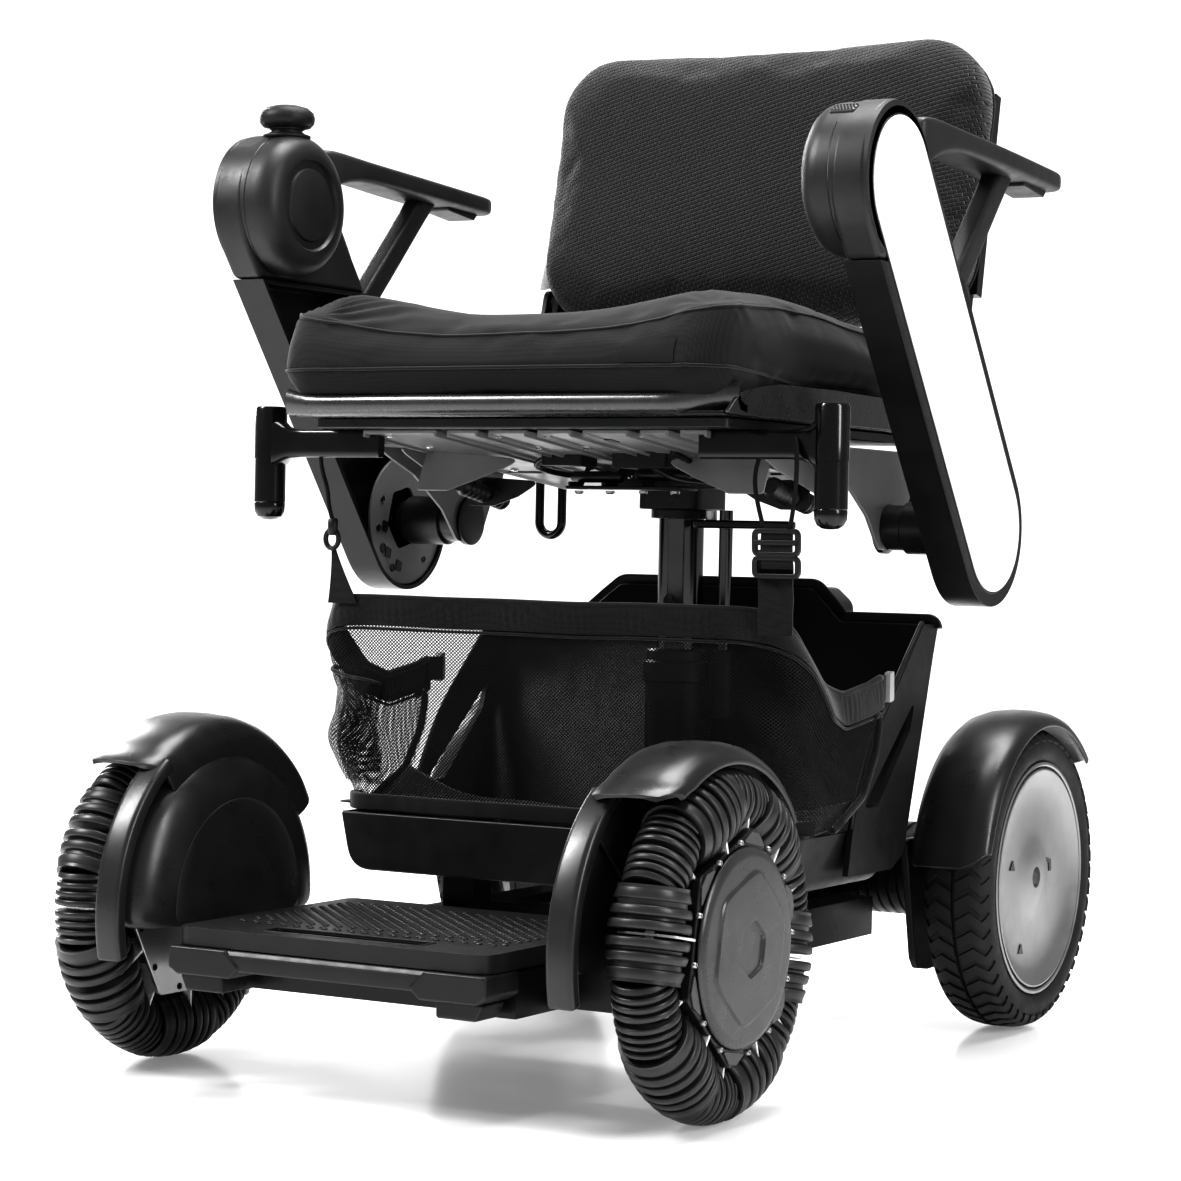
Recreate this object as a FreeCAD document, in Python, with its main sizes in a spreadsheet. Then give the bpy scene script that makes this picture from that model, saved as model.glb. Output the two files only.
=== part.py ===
"""Power wheelchair: two driven rear wheels, two all-direction front wheels, a lift-off seat on a post.

Units are millimetres.  +Z is up, the chair faces -Y, and +X is the sitter's left.
The origin is on the floor, in the middle of the chair's outline.
"""
import FreeCAD, Part
import math
import os

import Sketcher
from FreeCAD import Placement, Rotation, Vector

ORIGIN = Vector(0, 0, 0)
X_AXIS = Vector(1, 0, 0)
Y_AXIS = Vector(0, 1, 0)
Z_AXIS = Vector(0, 0, 1)
SIDES = (("left", 1), ("right", -1))

DIMENSIONS = {
    # wheelbase and wheels; the shift puts the origin in the middle of the finished outline
    "outline_shift": 6.25, "front_axle_y": -288, "rear_axle_y": 283, "wheel_mid_x": 247,
    "front_wheel_radius": 130, "front_axle_z": 130, "rear_axle_z": 133.5, "rear_wheel_radius": 133.5,
    "sector_count": 6, "first_flat_left": 20, "first_flat_right": 0,
    # rollers: a big pair on each flat of the hexagon, a small pair on each corner
    "big_roller_radius": 30, "big_roller_end": 34, "big_roller_gap": 1.8, "big_cup_radius": 26,
    "big_cup_start": 17, "small_roller_radius": 24, "small_roller_end": 27.5, "small_roller_gap": 1.6,
    "rib_depth": 2.6, "rib_round": 1, "shaft_radius": 4, "running_gap": 0.05,
    # front hub
    "hub_core_radius": 36, "hub_plate_corner": 86, "hub_plate_thickness": 3.5, "hub_inner_face": 224,
    "hub_outer_face": 271, "axle_radius": 10, "collar_radius": 20, "cap_radius": 74, "cap_height": 8,
    # rear wheel
    "tyre_half_width": 30, "rim_radius": 102, "rim_half_width": 26, "rear_axle_radius": 9,
    # chassis
    "rail_x": 120, "rail_width": 34, "rail_height": 34, "rail_bottom": 77, "rail_front_y": -381.7,
    "rail_rear_y": 236, "cross_tube": 30,
    # foot platform
    "footplate_half_width": 138, "footplate_front_y": -424, "footplate_rear_y": -188, "footplate_top": 127,
    "footplate_thickness": 14, "bumper_bottom": 92,
    # wheel covers
    "cover_radius": 120, "cover_inner_x": 177, "cover_depth": 24, "cover_bottom": 117,
    "fender_radius": 143, "fender_wall": 4,
    "fender_inner_x": 188, "fender_outer_x": 262, "strut_outer_x": 210, "strut_radius": 141,
    "rear_fender_radius": 142, "rear_fender_inner_x": 205, "rear_fender_outer_x": 284,
    # tub
    "tub_half_width": 216, "tub_wall": 5, "tub_bottom": 139, "tub_front_y": -100,
    "tray_top": 188, "tub_back_top": 385, "tub_side_top": 357,
    # seat post
    "post_y": 115, "post_radius": 20, "socket_radius": 29, "socket_top": 330, "post_top": 452,
    "guide_x": 44, "guide_radius": 6,
    # seat
    "pan_half_width": 199, "pan_front_y": -197, "pan_rear_y": 200, "pan_z": 520, "pan_thickness": 4,
    "cushion_half_width": 200, "cushion_front_y": -219, "cushion_rear_y": 205, "cushion_bottom": 531,
    "cushion_top": 618, "back_half_width": 216, "back_bottom": 627, "back_top": 882,
    "back_thickness": 62, "back_recline": 11, "back_hinge_y": 236, "back_hinge_z": 646,
    # arms
    "pod_x": 242, "pod_width": 57, "pod_radius": 60, "pod_y": -113, "pod_z": 704.5,
    "arm_top_y": -110, "arm_top_z": 702, "arm_foot_y": 92, "arm_foot_z": 439,
    "arm_radius": 64, "arm_split_z": 640,
    "arm_inner_x": 271, "arm_outer_x": 303, "panel_radius": 51.5, "panel_thickness": 3,
    "armrest_half_width": 25, "armrest_x": 286, "armrest_rear_y": 216, "armrest_top": 755,
    # basket
    "basket_half_width": 222, "basket_skin": 3, "basket_front_y": -122, "basket_top": 367,
    "basket_bottom": 190, "basket_floor_rear_y": 10,
    # grips
    "grip_x": 263, "grip_y": -138, "grip_radius": 13, "grip_bottom": 435, "grip_top": 531, "grip_bar_z": 506,
}

doc = FreeCAD.newDocument("PowerWheelchair")
dims = doc.addObject("Spreadsheet::Sheet", "dims")
for row, (alias, amount) in enumerate(DIMENSIONS.items(), start=1):
    dims.set(f"A{row}", alias.replace("_", " "))
    dims.set(f"B{row}", str(amount))
    dims.setAlias(f"B{row}", alias)
doc.recompute()

nodes = []


def dim(alias):
    """One driving dimension, read from the sheet."""
    return float(dims.get(alias))


def number(formula):
    """The value of a formula written with the sheet's aliases."""
    return float(dims.evalExpression(formula))


def keep(obj, label):
    """Name a finished sub-part, which is exported under its label."""
    obj.Label = label
    nodes.append(obj)
    return obj


def solid(label, shape):
    """A sub-part whose shape comes from Part's own functions."""
    feature = doc.addObject("Part::Feature", label)
    feature.Shape = shape
    return keep(feature, label)


def bind(obj, **formulas):
    """Bind properties to the sheet; a double underscore stands for a dot in a property's path."""
    for name, formula in formulas.items():
        obj.setExpression(name.replace("__", "."), formula)
    return obj


def box(name, x, y, z, length, width, height):
    """A parametric block: its low corner and its size, each a formula."""
    block = doc.addObject("Part::Box", name)
    bind(block, Length=length, Width=width, Height=height)
    return bind(block, Placement__Base__x=x, Placement__Base__y=y, Placement__Base__z=z)


def cylinder(name, radius, height, x, y, z, axis=Z_AXIS):
    """A parametric cylinder that starts at a point and runs along an axis."""
    rod = doc.addObject("Part::Cylinder", name)
    rod.Placement = Placement(ORIGIN, Rotation(Z_AXIS, axis))
    bind(rod, Radius=radius, Height=height)
    return bind(rod, Placement__Base__x=x, Placement__Base__y=y, Placement__Base__z=z)


def fuse(label, pieces):
    """One sub-part fused from parametric pieces."""
    joined = doc.addObject("Part::MultiFuse", label)
    joined.Shapes = pieces
    joined.Refine = True
    return joined


def cut(label, base, tool):
    """One parametric piece less another."""
    less = doc.addObject("Part::Cut", label)
    less.Base = base
    less.Tool = tool
    return less


# ---------------------------------------------------------------- PartDesign helpers

def origin_plane(body, role):
    return next(item for item in body.Origin.OriginFeatures if item.Role == role)


def new_sketch(body, name, role, offset="0"):
    """A sketch on one of the body's own planes, moved along that plane's normal."""
    sketch = body.newObject("Sketcher::SketchObject", name)
    sketch.AttachmentSupport = [(origin_plane(body, role), "")]
    sketch.MapMode = "FlatFace"
    sketch.setExpression("AttachmentOffset.Base.z", offset)
    return sketch


def outline(sketch, corners):
    """A closed outline whose corners are pairs of formulas, each held by two bound distances."""
    places = [Vector(number(across), number(up), 0) for across, up in corners]
    count = len(places)
    first = sketch.GeometryCount
    for index, place in enumerate(places):
        sketch.addGeometry(Part.LineSegment(place, places[(index + 1) % count]), False)
    for index in range(count):
        following = first + (index + 1) % count
        sketch.addConstraint(Sketcher.Constraint("Coincident", first + index, 2, following, 1))
    for index, (across, up) in enumerate(corners):
        place = places[index]
        for kind, formula, amount in (("DistanceX", across, place.x), ("DistanceY", up, place.y)):
            held = sketch.addConstraint(Sketcher.Constraint(kind, -1, 1, first + index, 1, amount))
            sketch.setExpression(f"Constraints[{held}]", formula)


def pad(body, sketch, length):
    feature = body.newObject("PartDesign::Pad", sketch.Name + "_pad")
    feature.Profile = sketch
    feature.setExpression("Length", length)
    doc.recompute()
    return feature


def pocket(body, sketch, length):
    """Cut a sketch into the body, on whichever side of the sketch the solid lies."""
    before = body.Shape.Volume
    feature = body.newObject("PartDesign::Pocket", sketch.Name + "_pocket")
    feature.Profile = sketch
    feature.setExpression("Length", length)
    doc.recompute()
    if abs(body.Shape.Volume - before) < 1e-6:
        feature.Reversed = True
        doc.recompute()
    if body.Shape.Volume >= before:
        raise RuntimeError(feature.Name + " cuts nothing")
    return feature


def revolve(body, sketch, axis="H_Axis"):
    feature = body.newObject("PartDesign::Revolution", sketch.Name + "_turned")
    feature.Profile = sketch
    feature.ReferenceAxis = (sketch, [axis])
    feature.Angle = 360
    doc.recompute()
    return feature


def round_edges(body, base, radius, wanted):
    """Round the edges of a feature that a test picks."""
    doc.recompute()
    names = [f"Edge{i}" for i, edge in enumerate(base.Shape.Edges, start=1) if wanted(edge)]
    feature = body.newObject("PartDesign::Fillet", base.Name + "_round")
    feature.Base = (base, names)
    feature.Radius = radius
    doc.recompute()
    return feature


def new_body(label):
    body = doc.addObject("PartDesign::Body", label)
    return keep(body, label)


def runs_along(edge, direction):
    """True for a straight edge that lies along a direction."""
    if not isinstance(edge.Curve, Part.Line):
        return False
    return abs(abs(edge.Curve.Direction.dot(direction)) - 1) < 1e-6


# ---------------------------------------------------------------- shape helpers

def prism(points, start, end, along=X_AXIS):
    """Extrude a flat outline: (y, z) points along X, or (x, z) points along Y, or (x, y) points along Z."""
    if along == X_AXIS:
        corners = [Vector(start, a, b) for a, b in points]
    elif along == Y_AXIS:
        corners = [Vector(a, start, b) for a, b in points]
    else:
        corners = [Vector(a, b, start) for a, b in points]
    face = Part.Face(Part.makePolygon(corners + corners[:1]))
    return face.extrude(along * (end - start))


def rod(start, end, radius):
    """A round rod between two points."""
    run = end - start
    return Part.makeCylinder(radius, run.Length, start, run)


def rounded_box(low, high, radius):
    """A block with every edge rounded."""
    block = Part.makeBox(high.x - low.x, high.y - low.y, high.z - low.z, low)
    return block.makeFillet(radius, block.Edges)


def capsule(foot, top, radius, start_x, end_x):
    """A slab with two round ends, standing across X; foot and top are (y, z)."""
    along = Vector(0, top[0] - foot[0], top[1] - foot[1])
    side = along.cross(X_AXIS).normalize() * radius
    low = Vector(start_x, *foot)
    high = Vector(start_x, *top)
    reach = along.normalize() * radius
    edges = [
        Part.makeLine(low + side, high + side),
        Part.Arc(high + side, high + reach, high - side).toShape(),
        Part.makeLine(high - side, low - side),
        Part.Arc(low - side, low - reach, low + side).toShape(),
    ]
    return Part.Face(Part.Wire(edges)).extrude(X_AXIS * (end_x - start_x))


def mirrored(shape, side):
    """The shape itself on the left, its mirror image on the right."""
    return shape if side > 0 else shape.mirror(ORIGIN, X_AXIS)


def joined(shapes):
    """Fuse shapes and merge the faces that lie in one plane."""
    return shapes[0].fuse(shapes[1:]).removeSplitter()


def arc_band(axle_y, axle_z, inner, outer, start_x, end_x, front_angle, rear_angle):
    """Part of a ring about an axle.  Angles are degrees from straight up, positive towards the front."""
    def spot(radius, angle):
        turn = math.radians(angle)
        return Vector(start_x, axle_y - radius * math.sin(turn), axle_z + radius * math.cos(turn))
    middle = (front_angle + rear_angle) / 2
    edges = [
        Part.Arc(spot(outer, front_angle), spot(outer, middle), spot(outer, rear_angle)).toShape(),
        Part.makeLine(spot(outer, rear_angle), spot(inner, rear_angle)),
        Part.Arc(spot(inner, rear_angle), spot(inner, middle), spot(inner, front_angle)).toShape(),
        Part.makeLine(spot(inner, front_angle), spot(outer, front_angle)),
    ]
    return Part.Face(Part.Wire(edges)).extrude(X_AXIS * (end_x - start_x))


# ---------------------------------------------------------------- front wheels

def wheel_point(angle, radius, slide=0.0):
    """A point in a front wheel's mid plane, seen from its own centre."""
    turn = math.radians(angle)
    outward = Vector(0, -math.sin(turn), math.cos(turn))
    along = Vector(0, -math.cos(turn), -math.sin(turn))
    return outward * radius + along * slide


def wheel_frame(angle, distance, side):
    """Placement that takes local +Z to a roller shaft's direction on one front wheel."""
    turn = math.radians(angle)
    along = Vector(0, -math.cos(turn), -math.sin(turn))
    centre = Vector(side * dim("wheel_mid_x"), dim("front_axle_y"), dim("front_axle_z"))
    return Placement(centre + wheel_point(angle, distance), Rotation(Z_AXIS, along))


def ribbed_profile(start, end, crown, shaft_distance, rib_starts, rib_width):
    """Half outline of one roller as (radius, length) corners, with square-cut ribs that follow the tread."""
    tread = dim("front_wheel_radius")
    depth = dim("rib_depth")

    def height(length):
        return min(math.sqrt(tread ** 2 - length ** 2) - shaft_distance, crown)

    corners = []
    for rib in rib_starts:
        finish = rib + rib_width
        corners += [(height(rib) - depth, rib), (height(rib), rib)]
        corners += [(height(finish), finish), (height(finish) - depth, finish)]
    corners = [(r, min(max(z, start), end)) for r, z in corners]
    return corners


def turned(corners):
    """Revolve (radius, length) corners about the local Z axis."""
    points = [Vector(radius, 0, length) for radius, length in corners]
    face = Part.Face(Part.makePolygon(points + points[:1]))
    return face.revolve(ORIGIN, Z_AXIS, 360)


def big_roller():
    """A roller with three broad ribs and a hollow end, which the next small roller reaches into."""
    start = dim("big_roller_gap")
    end = dim("big_roller_end")
    bore = dim("shaft_radius") + dim("running_gap")
    pitch = (end - start - 8) / 2
    ribs = [start + pitch * index for index in range(3)]
    distance = dim("front_wheel_radius") - dim("big_roller_radius")
    body = ribbed_profile(start, end, dim("big_roller_radius"), distance, ribs, 8)
    cup = dim("big_cup_radius")
    hollow = [(cup, end), (cup, dim("big_cup_start")), (bore, dim("big_cup_start")), (bore, start)]
    return turned(body + hollow)


def small_roller():
    """A roller with four narrow ribs that tapers into its neighbour."""
    start = dim("small_roller_gap")
    end = dim("small_roller_end")
    bore = dim("shaft_radius") + dim("running_gap")
    pitch = (end - start - 5) / 3
    ribs = [start + pitch * index for index in range(4)]
    distance = dim("front_wheel_radius") - dim("small_roller_radius")
    body = ribbed_profile(start, end, dim("small_roller_radius"), distance, ribs, 5)
    return turned(body + [(bore, end), (bore, start)])


def pair_of(roller):
    """A roller and its mirror image on one shaft."""
    return Part.makeCompound([roller, roller.mirror(ORIGIN, Z_AXIS)])


def flat_angle(name, index):
    """Direction of one flat of a hub's hexagon, which carries a big roller pair."""
    return dim(f"first_flat_{name}") + index * 360 / dim("sector_count")


def make_rollers(name, side):
    big = pair_of(big_roller())
    small = pair_of(small_roller())
    big_distance = dim("front_wheel_radius") - dim("big_roller_radius")
    small_distance = dim("front_wheel_radius") - dim("small_roller_radius")
    half_sector = 180 / dim("sector_count")
    corner_pairs = []
    for index in range(int(dim("sector_count"))):
        angle = flat_angle(name, index)
        feature = solid(f"roller_pair_{name}_{index + 1}", big)
        feature.Placement = wheel_frame(angle, big_distance, side)
        corner = small.copy()
        corner.Placement = wheel_frame(angle + half_sector, small_distance, side)
        corner_pairs.append(corner)
    solid(f"corner_rollers_{name}", Part.makeCompound(corner_pairs))


def hexagon_plate(name, corner_radius, start_x, end_x):
    """A hexagon whose corners point at the small rollers, about the wheel's own centre."""
    corners = []
    for index in range(6):
        spot = wheel_point(flat_angle(name, index) + 30, corner_radius)
        corners.append((spot.y, spot.z))
    return prism(corners, start_x, end_x)


def make_front_hub(name, side):
    """Hub: core, two hexagon plates, twelve short shafts and the thin webs that hold them."""
    mid = dim("wheel_mid_x")
    inner = dim("hub_inner_face") - mid
    outer = dim("hub_outer_face") - mid
    plate = dim("hub_plate_thickness")
    corner = dim("hub_plate_corner")
    core = Part.makeCylinder(dim("hub_core_radius"), outer - inner, Vector(inner, 0, 0), X_AXIS)
    pieces = [core, hexagon_plate(name, corner, outer - plate, outer),
              hexagon_plate(name, corner, inner, inner + plate)]
    big_distance = dim("front_wheel_radius") - dim("big_roller_radius")
    small_distance = dim("front_wheel_radius") - dim("small_roller_radius")
    for index in range(int(dim("sector_count"))):
        flat = flat_angle(name, index)
        for angle, distance, length, web, width in (
                (flat, big_distance, 15, 1.2, 18), (flat + 30, small_distance, 24, 1.2, 15)):
            ends = [wheel_point(angle, distance, slide) for slide in (-length, length)]
            pieces.append(rod(ends[0], ends[1], dim("shaft_radius")))
            sheet = Part.makeBox(2 * width, 2 * web, distance + 9 - 30, Vector(-width, -web, 30))
            sheet.rotate(ORIGIN, X_AXIS, angle)
            pieces.append(sheet)
    hub = joined(pieces)
    hub = hub.cut(Part.makeCylinder(dim("axle_radius") + dim("running_gap"), 2 * (outer - inner),
                                    Vector(2 * inner, 0, 0), X_AXIS))
    hub = mirrored(hub, side)
    hub.translate(Vector(side * mid, dim("front_axle_y"), dim("front_axle_z")))
    solid(f"front_hub_{name}", hub)


def make_front_cap(name, side):
    """Round cap that snaps on the hub, with a recessed hexagon at its middle."""
    body = new_body(f"front_cap_{name}")
    outline_sketch = new_sketch(body, f"cap_profile_{name}", "XZ_Plane")
    outline(outline_sketch, [
        ("0", "0"), ("0", "dims.cap_radius"), ("dims.cap_height * 0.35", "dims.cap_radius - 1"),
        ("dims.cap_height * 0.8", "dims.cap_radius * 0.8"), ("dims.cap_height", "dims.cap_radius * 0.45"),
        ("dims.cap_height", "0")])
    revolve(body, outline_sketch)
    recess = new_sketch(body, f"cap_recess_{name}", "YZ_Plane", "dims.cap_height")
    corners = [f"({-side} * (dims.first_flat_{name} + {60 * index + 30}))" for index in range(6)]
    outline(recess, [(f"27 * sin{corner}", f"27 * cos{corner}") for corner in corners])
    pocket(body, recess, "1.2")
    spin = Rotation() if side > 0 else Rotation(Z_AXIS, 180)
    body.Placement = Placement(Vector(0, 0, 0), spin)
    bind(body, Placement__Base__x=f"{side} * (dims.hub_outer_face + 0.2)",
         Placement__Base__y="dims.front_axle_y", Placement__Base__z="dims.front_axle_z")


# ---------------------------------------------------------------- rear wheels

def make_rear_wheel(name, side):
    tyre = new_body(f"rear_tyre_{name}")
    section = new_sketch(tyre, f"tyre_section_{name}", "XZ_Plane")
    outline(section, [
        ("-dims.tyre_half_width + 5", "dims.rim_radius"), ("-dims.tyre_half_width", "dims.rim_radius + 10"),
        ("-dims.tyre_half_width + 2", "dims.rear_wheel_radius - 9"),
        ("-dims.tyre_half_width + 11", "dims.rear_wheel_radius - 1.5"), ("0", "dims.rear_wheel_radius"),
        ("dims.tyre_half_width - 11", "dims.rear_wheel_radius - 1.5"),
        ("dims.tyre_half_width - 2", "dims.rear_wheel_radius - 9"),
        ("dims.tyre_half_width", "dims.rim_radius + 10"), ("dims.tyre_half_width - 5", "dims.rim_radius")])
    revolve(tyre, section)
    rim = new_body(f"rear_rim_{name}")
    section = new_sketch(rim, f"rim_section_{name}", "XZ_Plane")
    outline(section, [
        ("-dims.rim_half_width + 2", "dims.rear_axle_radius + dims.running_gap"),
        ("-dims.rim_half_width + 2", "40"), ("6", "46"), ("8", "dims.rim_radius - 8"),
        ("-dims.rim_half_width", "dims.rim_radius - 5"), ("-dims.rim_half_width", "dims.rim_radius"),
        ("dims.rim_half_width", "dims.rim_radius"), ("dims.rim_half_width + 2", "dims.rim_radius - 4"),
        ("dims.rim_half_width - 6", "dims.rim_radius - 22"), ("dims.rim_half_width - 5", "34"),
        ("dims.rim_half_width + 1", "16"),
        ("dims.rim_half_width + 1", "dims.rear_axle_radius + dims.running_gap")])
    revolve(rim, section)
    for body in (tyre, rim):
        body.Placement = Placement(ORIGIN, Rotation() if side > 0 else Rotation(Z_AXIS, 180))
        bind(body, Placement__Base__x=f"{side} * (dims.wheel_mid_x + 2)",
             Placement__Base__y="dims.rear_axle_y", Placement__Base__z="dims.rear_axle_z")


def make_drive(name, side):
    """Motor and gear head on the chassis, with the axle that carries the rear wheel."""
    start = f"{side} * 96" if side > 0 else "-96 - 92"
    motor = cylinder(f"motor_{name}", "42", "92", start, "dims.rear_axle_y", "dims.rear_axle_z", X_AXIS)
    start = "188" if side > 0 else "-188 - 24"
    head = cylinder(f"gear_head_{name}", "52", "24", start, "dims.rear_axle_y", "dims.rear_axle_z", X_AXIS)
    start = "205" if side > 0 else "-205 - 63"
    axle = cylinder(f"rear_axle_{name}", "dims.rear_axle_radius", "63", start,
                    "dims.rear_axle_y", "dims.rear_axle_z", X_AXIS)
    keep(fuse(f"drive_motor_{name}", [motor, head, axle]), f"drive_motor_{name}")


# ---------------------------------------------------------------- chassis and body panels

def make_chassis():
    """Ladder of two box rails and cross tubes, the front stub axles, and the battery shelf at the back."""
    pieces = []
    half = "(dims.rail_x + dims.rail_width / 2)"
    rail_top = "(dims.rail_bottom + dims.rail_height)"
    for name, place in (("front", "dims.rail_front_y"), ("middle", "-20"), ("post", "dims.post_y - 15"),
                        ("rear", "dims.rail_rear_y - dims.cross_tube")):
        pieces.append(box(f"cross_tube_{name}", f"-{half}", place, "dims.rail_bottom + 2",
                          f"2 * {half}", "dims.cross_tube", "dims.rail_height - 2"))
    pieces.append(box("battery_shelf", "-95", "178", "174", "190", "78", "4"))
    for name, side in SIDES:
        def across(start, width):
            """Low X of a block that starts at one distance from the middle, on either side."""
            return start if side > 0 else f"-({start}) - ({width})"
        pieces += [
            box(f"rail_{name}", f"{side} * dims.rail_x - dims.rail_width / 2", "dims.rail_front_y",
                "dims.rail_bottom", "dims.rail_width", "dims.rail_rear_y - dims.rail_front_y",
                "dims.rail_height"),
            box(f"motor_plate_{name}", across("87", "8.7"), "dims.rail_rear_y - 50", "dims.rail_bottom",
                "8.7", "140", "174 - dims.rail_bottom"),
            box(f"tray_spacer_{name}", across("100", "30"), "-60", rail_top,
                "30", "30", f"dims.tub_bottom - {rail_top}"),
            box(f"outrigger_{name}", across("130", "68"), "dims.front_axle_y - 25", "dims.rail_bottom",
                "68", "50", "dims.rail_height"),
            box(f"axle_arm_{name}", across("184", "14"), "dims.front_axle_y - 25", "dims.rail_bottom",
                "14", "50", "dims.front_axle_z + 20 - dims.rail_bottom"),
            cylinder(f"front_stub_{name}", "dims.axle_radius", "78", across("184", "78"),
                     "dims.front_axle_y", "dims.front_axle_z", X_AXIS),
            cylinder(f"stub_collar_{name}", "dims.collar_radius", "37", across("184", "37"),
                     "dims.front_axle_y", "dims.front_axle_z", X_AXIS)]
    keep(fuse("chassis_frame", pieces), "chassis_frame")


def make_footplate():
    """Flat foot platform with rounded corners and a hand slot near its front edge."""
    body = new_body("footplate")
    underside = "dims.footplate_top - dims.footplate_thickness"
    sketch = new_sketch(body, "footplate_outline", "XY_Plane", underside)
    half = "dims.footplate_half_width"
    outline(sketch, [
        (f"-{half}", "dims.footplate_rear_y"), (f"-{half}", "dims.footplate_front_y"),
        (half, "dims.footplate_front_y"), (half, "dims.footplate_rear_y")])
    plate = pad(body, sketch, "dims.footplate_thickness")
    plate = round_edges(body, plate, 16, lambda edge: runs_along(edge, Z_AXIS))
    slot = new_sketch(body, "hand_slot", "XY_Plane", "dims.footplate_top")
    outline(slot, [("-70", "dims.footplate_front_y + 16"), ("70", "dims.footplate_front_y + 16"),
                   ("70", "dims.footplate_front_y + 40"), ("-70", "dims.footplate_front_y + 40")])
    pocket(body, slot, "dims.footplate_thickness")
    body.Tip = body.Group[-1]


def make_bumper():
    """Bar under the footplate's front edge, with a block at each end and small rubber feet."""
    front = dim("footplate_front_y")
    top = dim("footplate_top") - dim("footplate_thickness") - 0.3
    bottom = dim("bumper_bottom")
    half = dim("footplate_half_width")
    bar = Part.makeBox(2 * half - 40, 15, top - bottom - 6, Vector(-half + 20, front - 3, bottom + 6))
    pieces = [bar]
    for _, side in SIDES:
        block = rounded_box(Vector(half - 62, front - 5, bottom), Vector(half + 2, front + 42, top), 5)
        foot = Part.makeCylinder(9, 8, Vector(half - 30, front + 20, bottom - 7))
        pieces += [mirrored(block, side), mirrored(foot, side)]
    solid("front_bumper", joined(pieces))


def make_wheel_covers():
    """Domed shells over the inner faces of the front wheels, cut flat just under axle height."""
    inner = dim("cover_inner_x")
    outer = inner + dim("cover_depth")
    radius = dim("cover_radius")
    wall = 3
    start = Vector(inner, dim("front_axle_y"), dim("front_axle_z"))

    def dome(face_x, flat, reach):
        """A solid dome: a flat disc of one radius that rounds out to another."""
        shoulder = Vector(face_x + 0.27 * (outer - face_x), 0, flat + 0.62 * (reach - flat))
        edges = [Part.makeLine(Vector(outer, 0, 0), Vector(face_x, 0, 0)),
                 Part.makeLine(Vector(face_x, 0, 0), Vector(face_x, 0, flat)),
                 Part.Arc(Vector(face_x, 0, flat), shoulder, Vector(outer, 0, reach)).toShape(),
                 Part.makeLine(Vector(outer, 0, reach), Vector(outer, 0, 0))]
        turned_dome = Part.Face(Part.Wire(edges)).revolve(ORIGIN, X_AXIS, 360)
        turned_dome.translate(Vector(0, start.y, start.z))
        return turned_dome

    shell = dome(inner, 82, radius).cut(dome(inner + wall, 80, radius - wall))
    below = Part.makeBox(60, 3 * radius, 2 * radius,
                         Vector(inner - 10, start.y - 1.5 * radius, dim("cover_bottom") - 2 * radius))
    lug = Part.makeBox(5, 24, 24, Vector(inner + wall - 1.1, start.y - 12, start.z - 8))
    cover = joined([shell.cut(below), lug])
    solid("wheel_covers", Part.makeCompound([cover, mirrored(cover, -1)]))


def make_front_fender(name, side):
    """Mudguard band over the wheel, a strut down its front, and the hanger that clamps on the stub collar."""
    radius = dim("fender_radius")
    wall = dim("fender_wall")
    place = (dim("front_axle_y"), dim("front_axle_z"))
    outer_x = dim("fender_outer_x")
    roof = arc_band(*place, radius, radius + wall, dim("strut_outer_x") - 1, outer_x, 40, -58)
    strut = arc_band(*place, 131.5, dim("strut_radius"), dim("fender_inner_x"), dim("strut_outer_x"), 104, 30)
    web = arc_band(*place, 131.5, radius + wall, dim("fender_inner_x"), dim("strut_outer_x"), 40, -58)
    lip = arc_band(*place, radius - 9, radius + wall, outer_x - 3, outer_x, 36, -54)
    carrier_x = dim("strut_outer_x") - 3 - wall
    hanger = arc_band(*place, 24, 133, carrier_x, carrier_x + wall, 50, -50)
    clamp_ring = Part.makeCylinder(32, wall, Vector(carrier_x, *place), X_AXIS)
    collar = Part.makeCylinder(dim("collar_radius") + 0.1, 60, Vector(carrier_x - 20, *place), X_AXIS)
    clamp_ring = clamp_ring.cut(collar)
    pieces = [roof, strut, web, lip, hanger, clamp_ring]
    solid(f"front_fender_{name}", mirrored(joined(pieces), side))


def make_rear_fender(name, side):
    """Mudguard over a rear wheel, closed on the inner side, and the guard plate in front of the hub."""
    radius = dim("rear_fender_radius")
    wall = dim("fender_wall")
    place = (dim("rear_axle_y"), dim("rear_axle_z"))
    inner = dim("rear_fender_inner_x")
    outer = dim("rear_fender_outer_x")
    roof = arc_band(*place, radius, radius + wall, inner, outer, 80, -49)
    inner_wall = arc_band(*place, 52.2, radius + wall, inner, inner + wall, 80, -49)
    lip = arc_band(*place, radius - 6, radius + wall, outer - 3, outer, 76, -46)
    flap = prism([(156, 172), (180, 66), (188, 57), (210, 54), (243, 55), (250, 75), (215, 110), (206, 172)],
                 inner - 9, inner)
    solid(f"rear_fender_{name}", mirrored(joined([roof, inner_wall, lip, flap]), side))


def tub_block(half, front, bottom, rear_shift, corner):
    """A block with the tub's side outline; the shift moves its rear wall forward."""
    side_outline = [
        (front, bottom), (97 - rear_shift, bottom), (122 - rear_shift, bottom + 24),
        (186 - rear_shift, dim("tub_back_top")), (front, dim("tub_back_top"))]
    block = prism(side_outline, -half, half)
    upright = [edge for edge in block.Edges
               if not runs_along(edge, X_AXIS) and not runs_along(edge, Y_AXIS)]
    return block.makeFillet(corner, upright)


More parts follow.
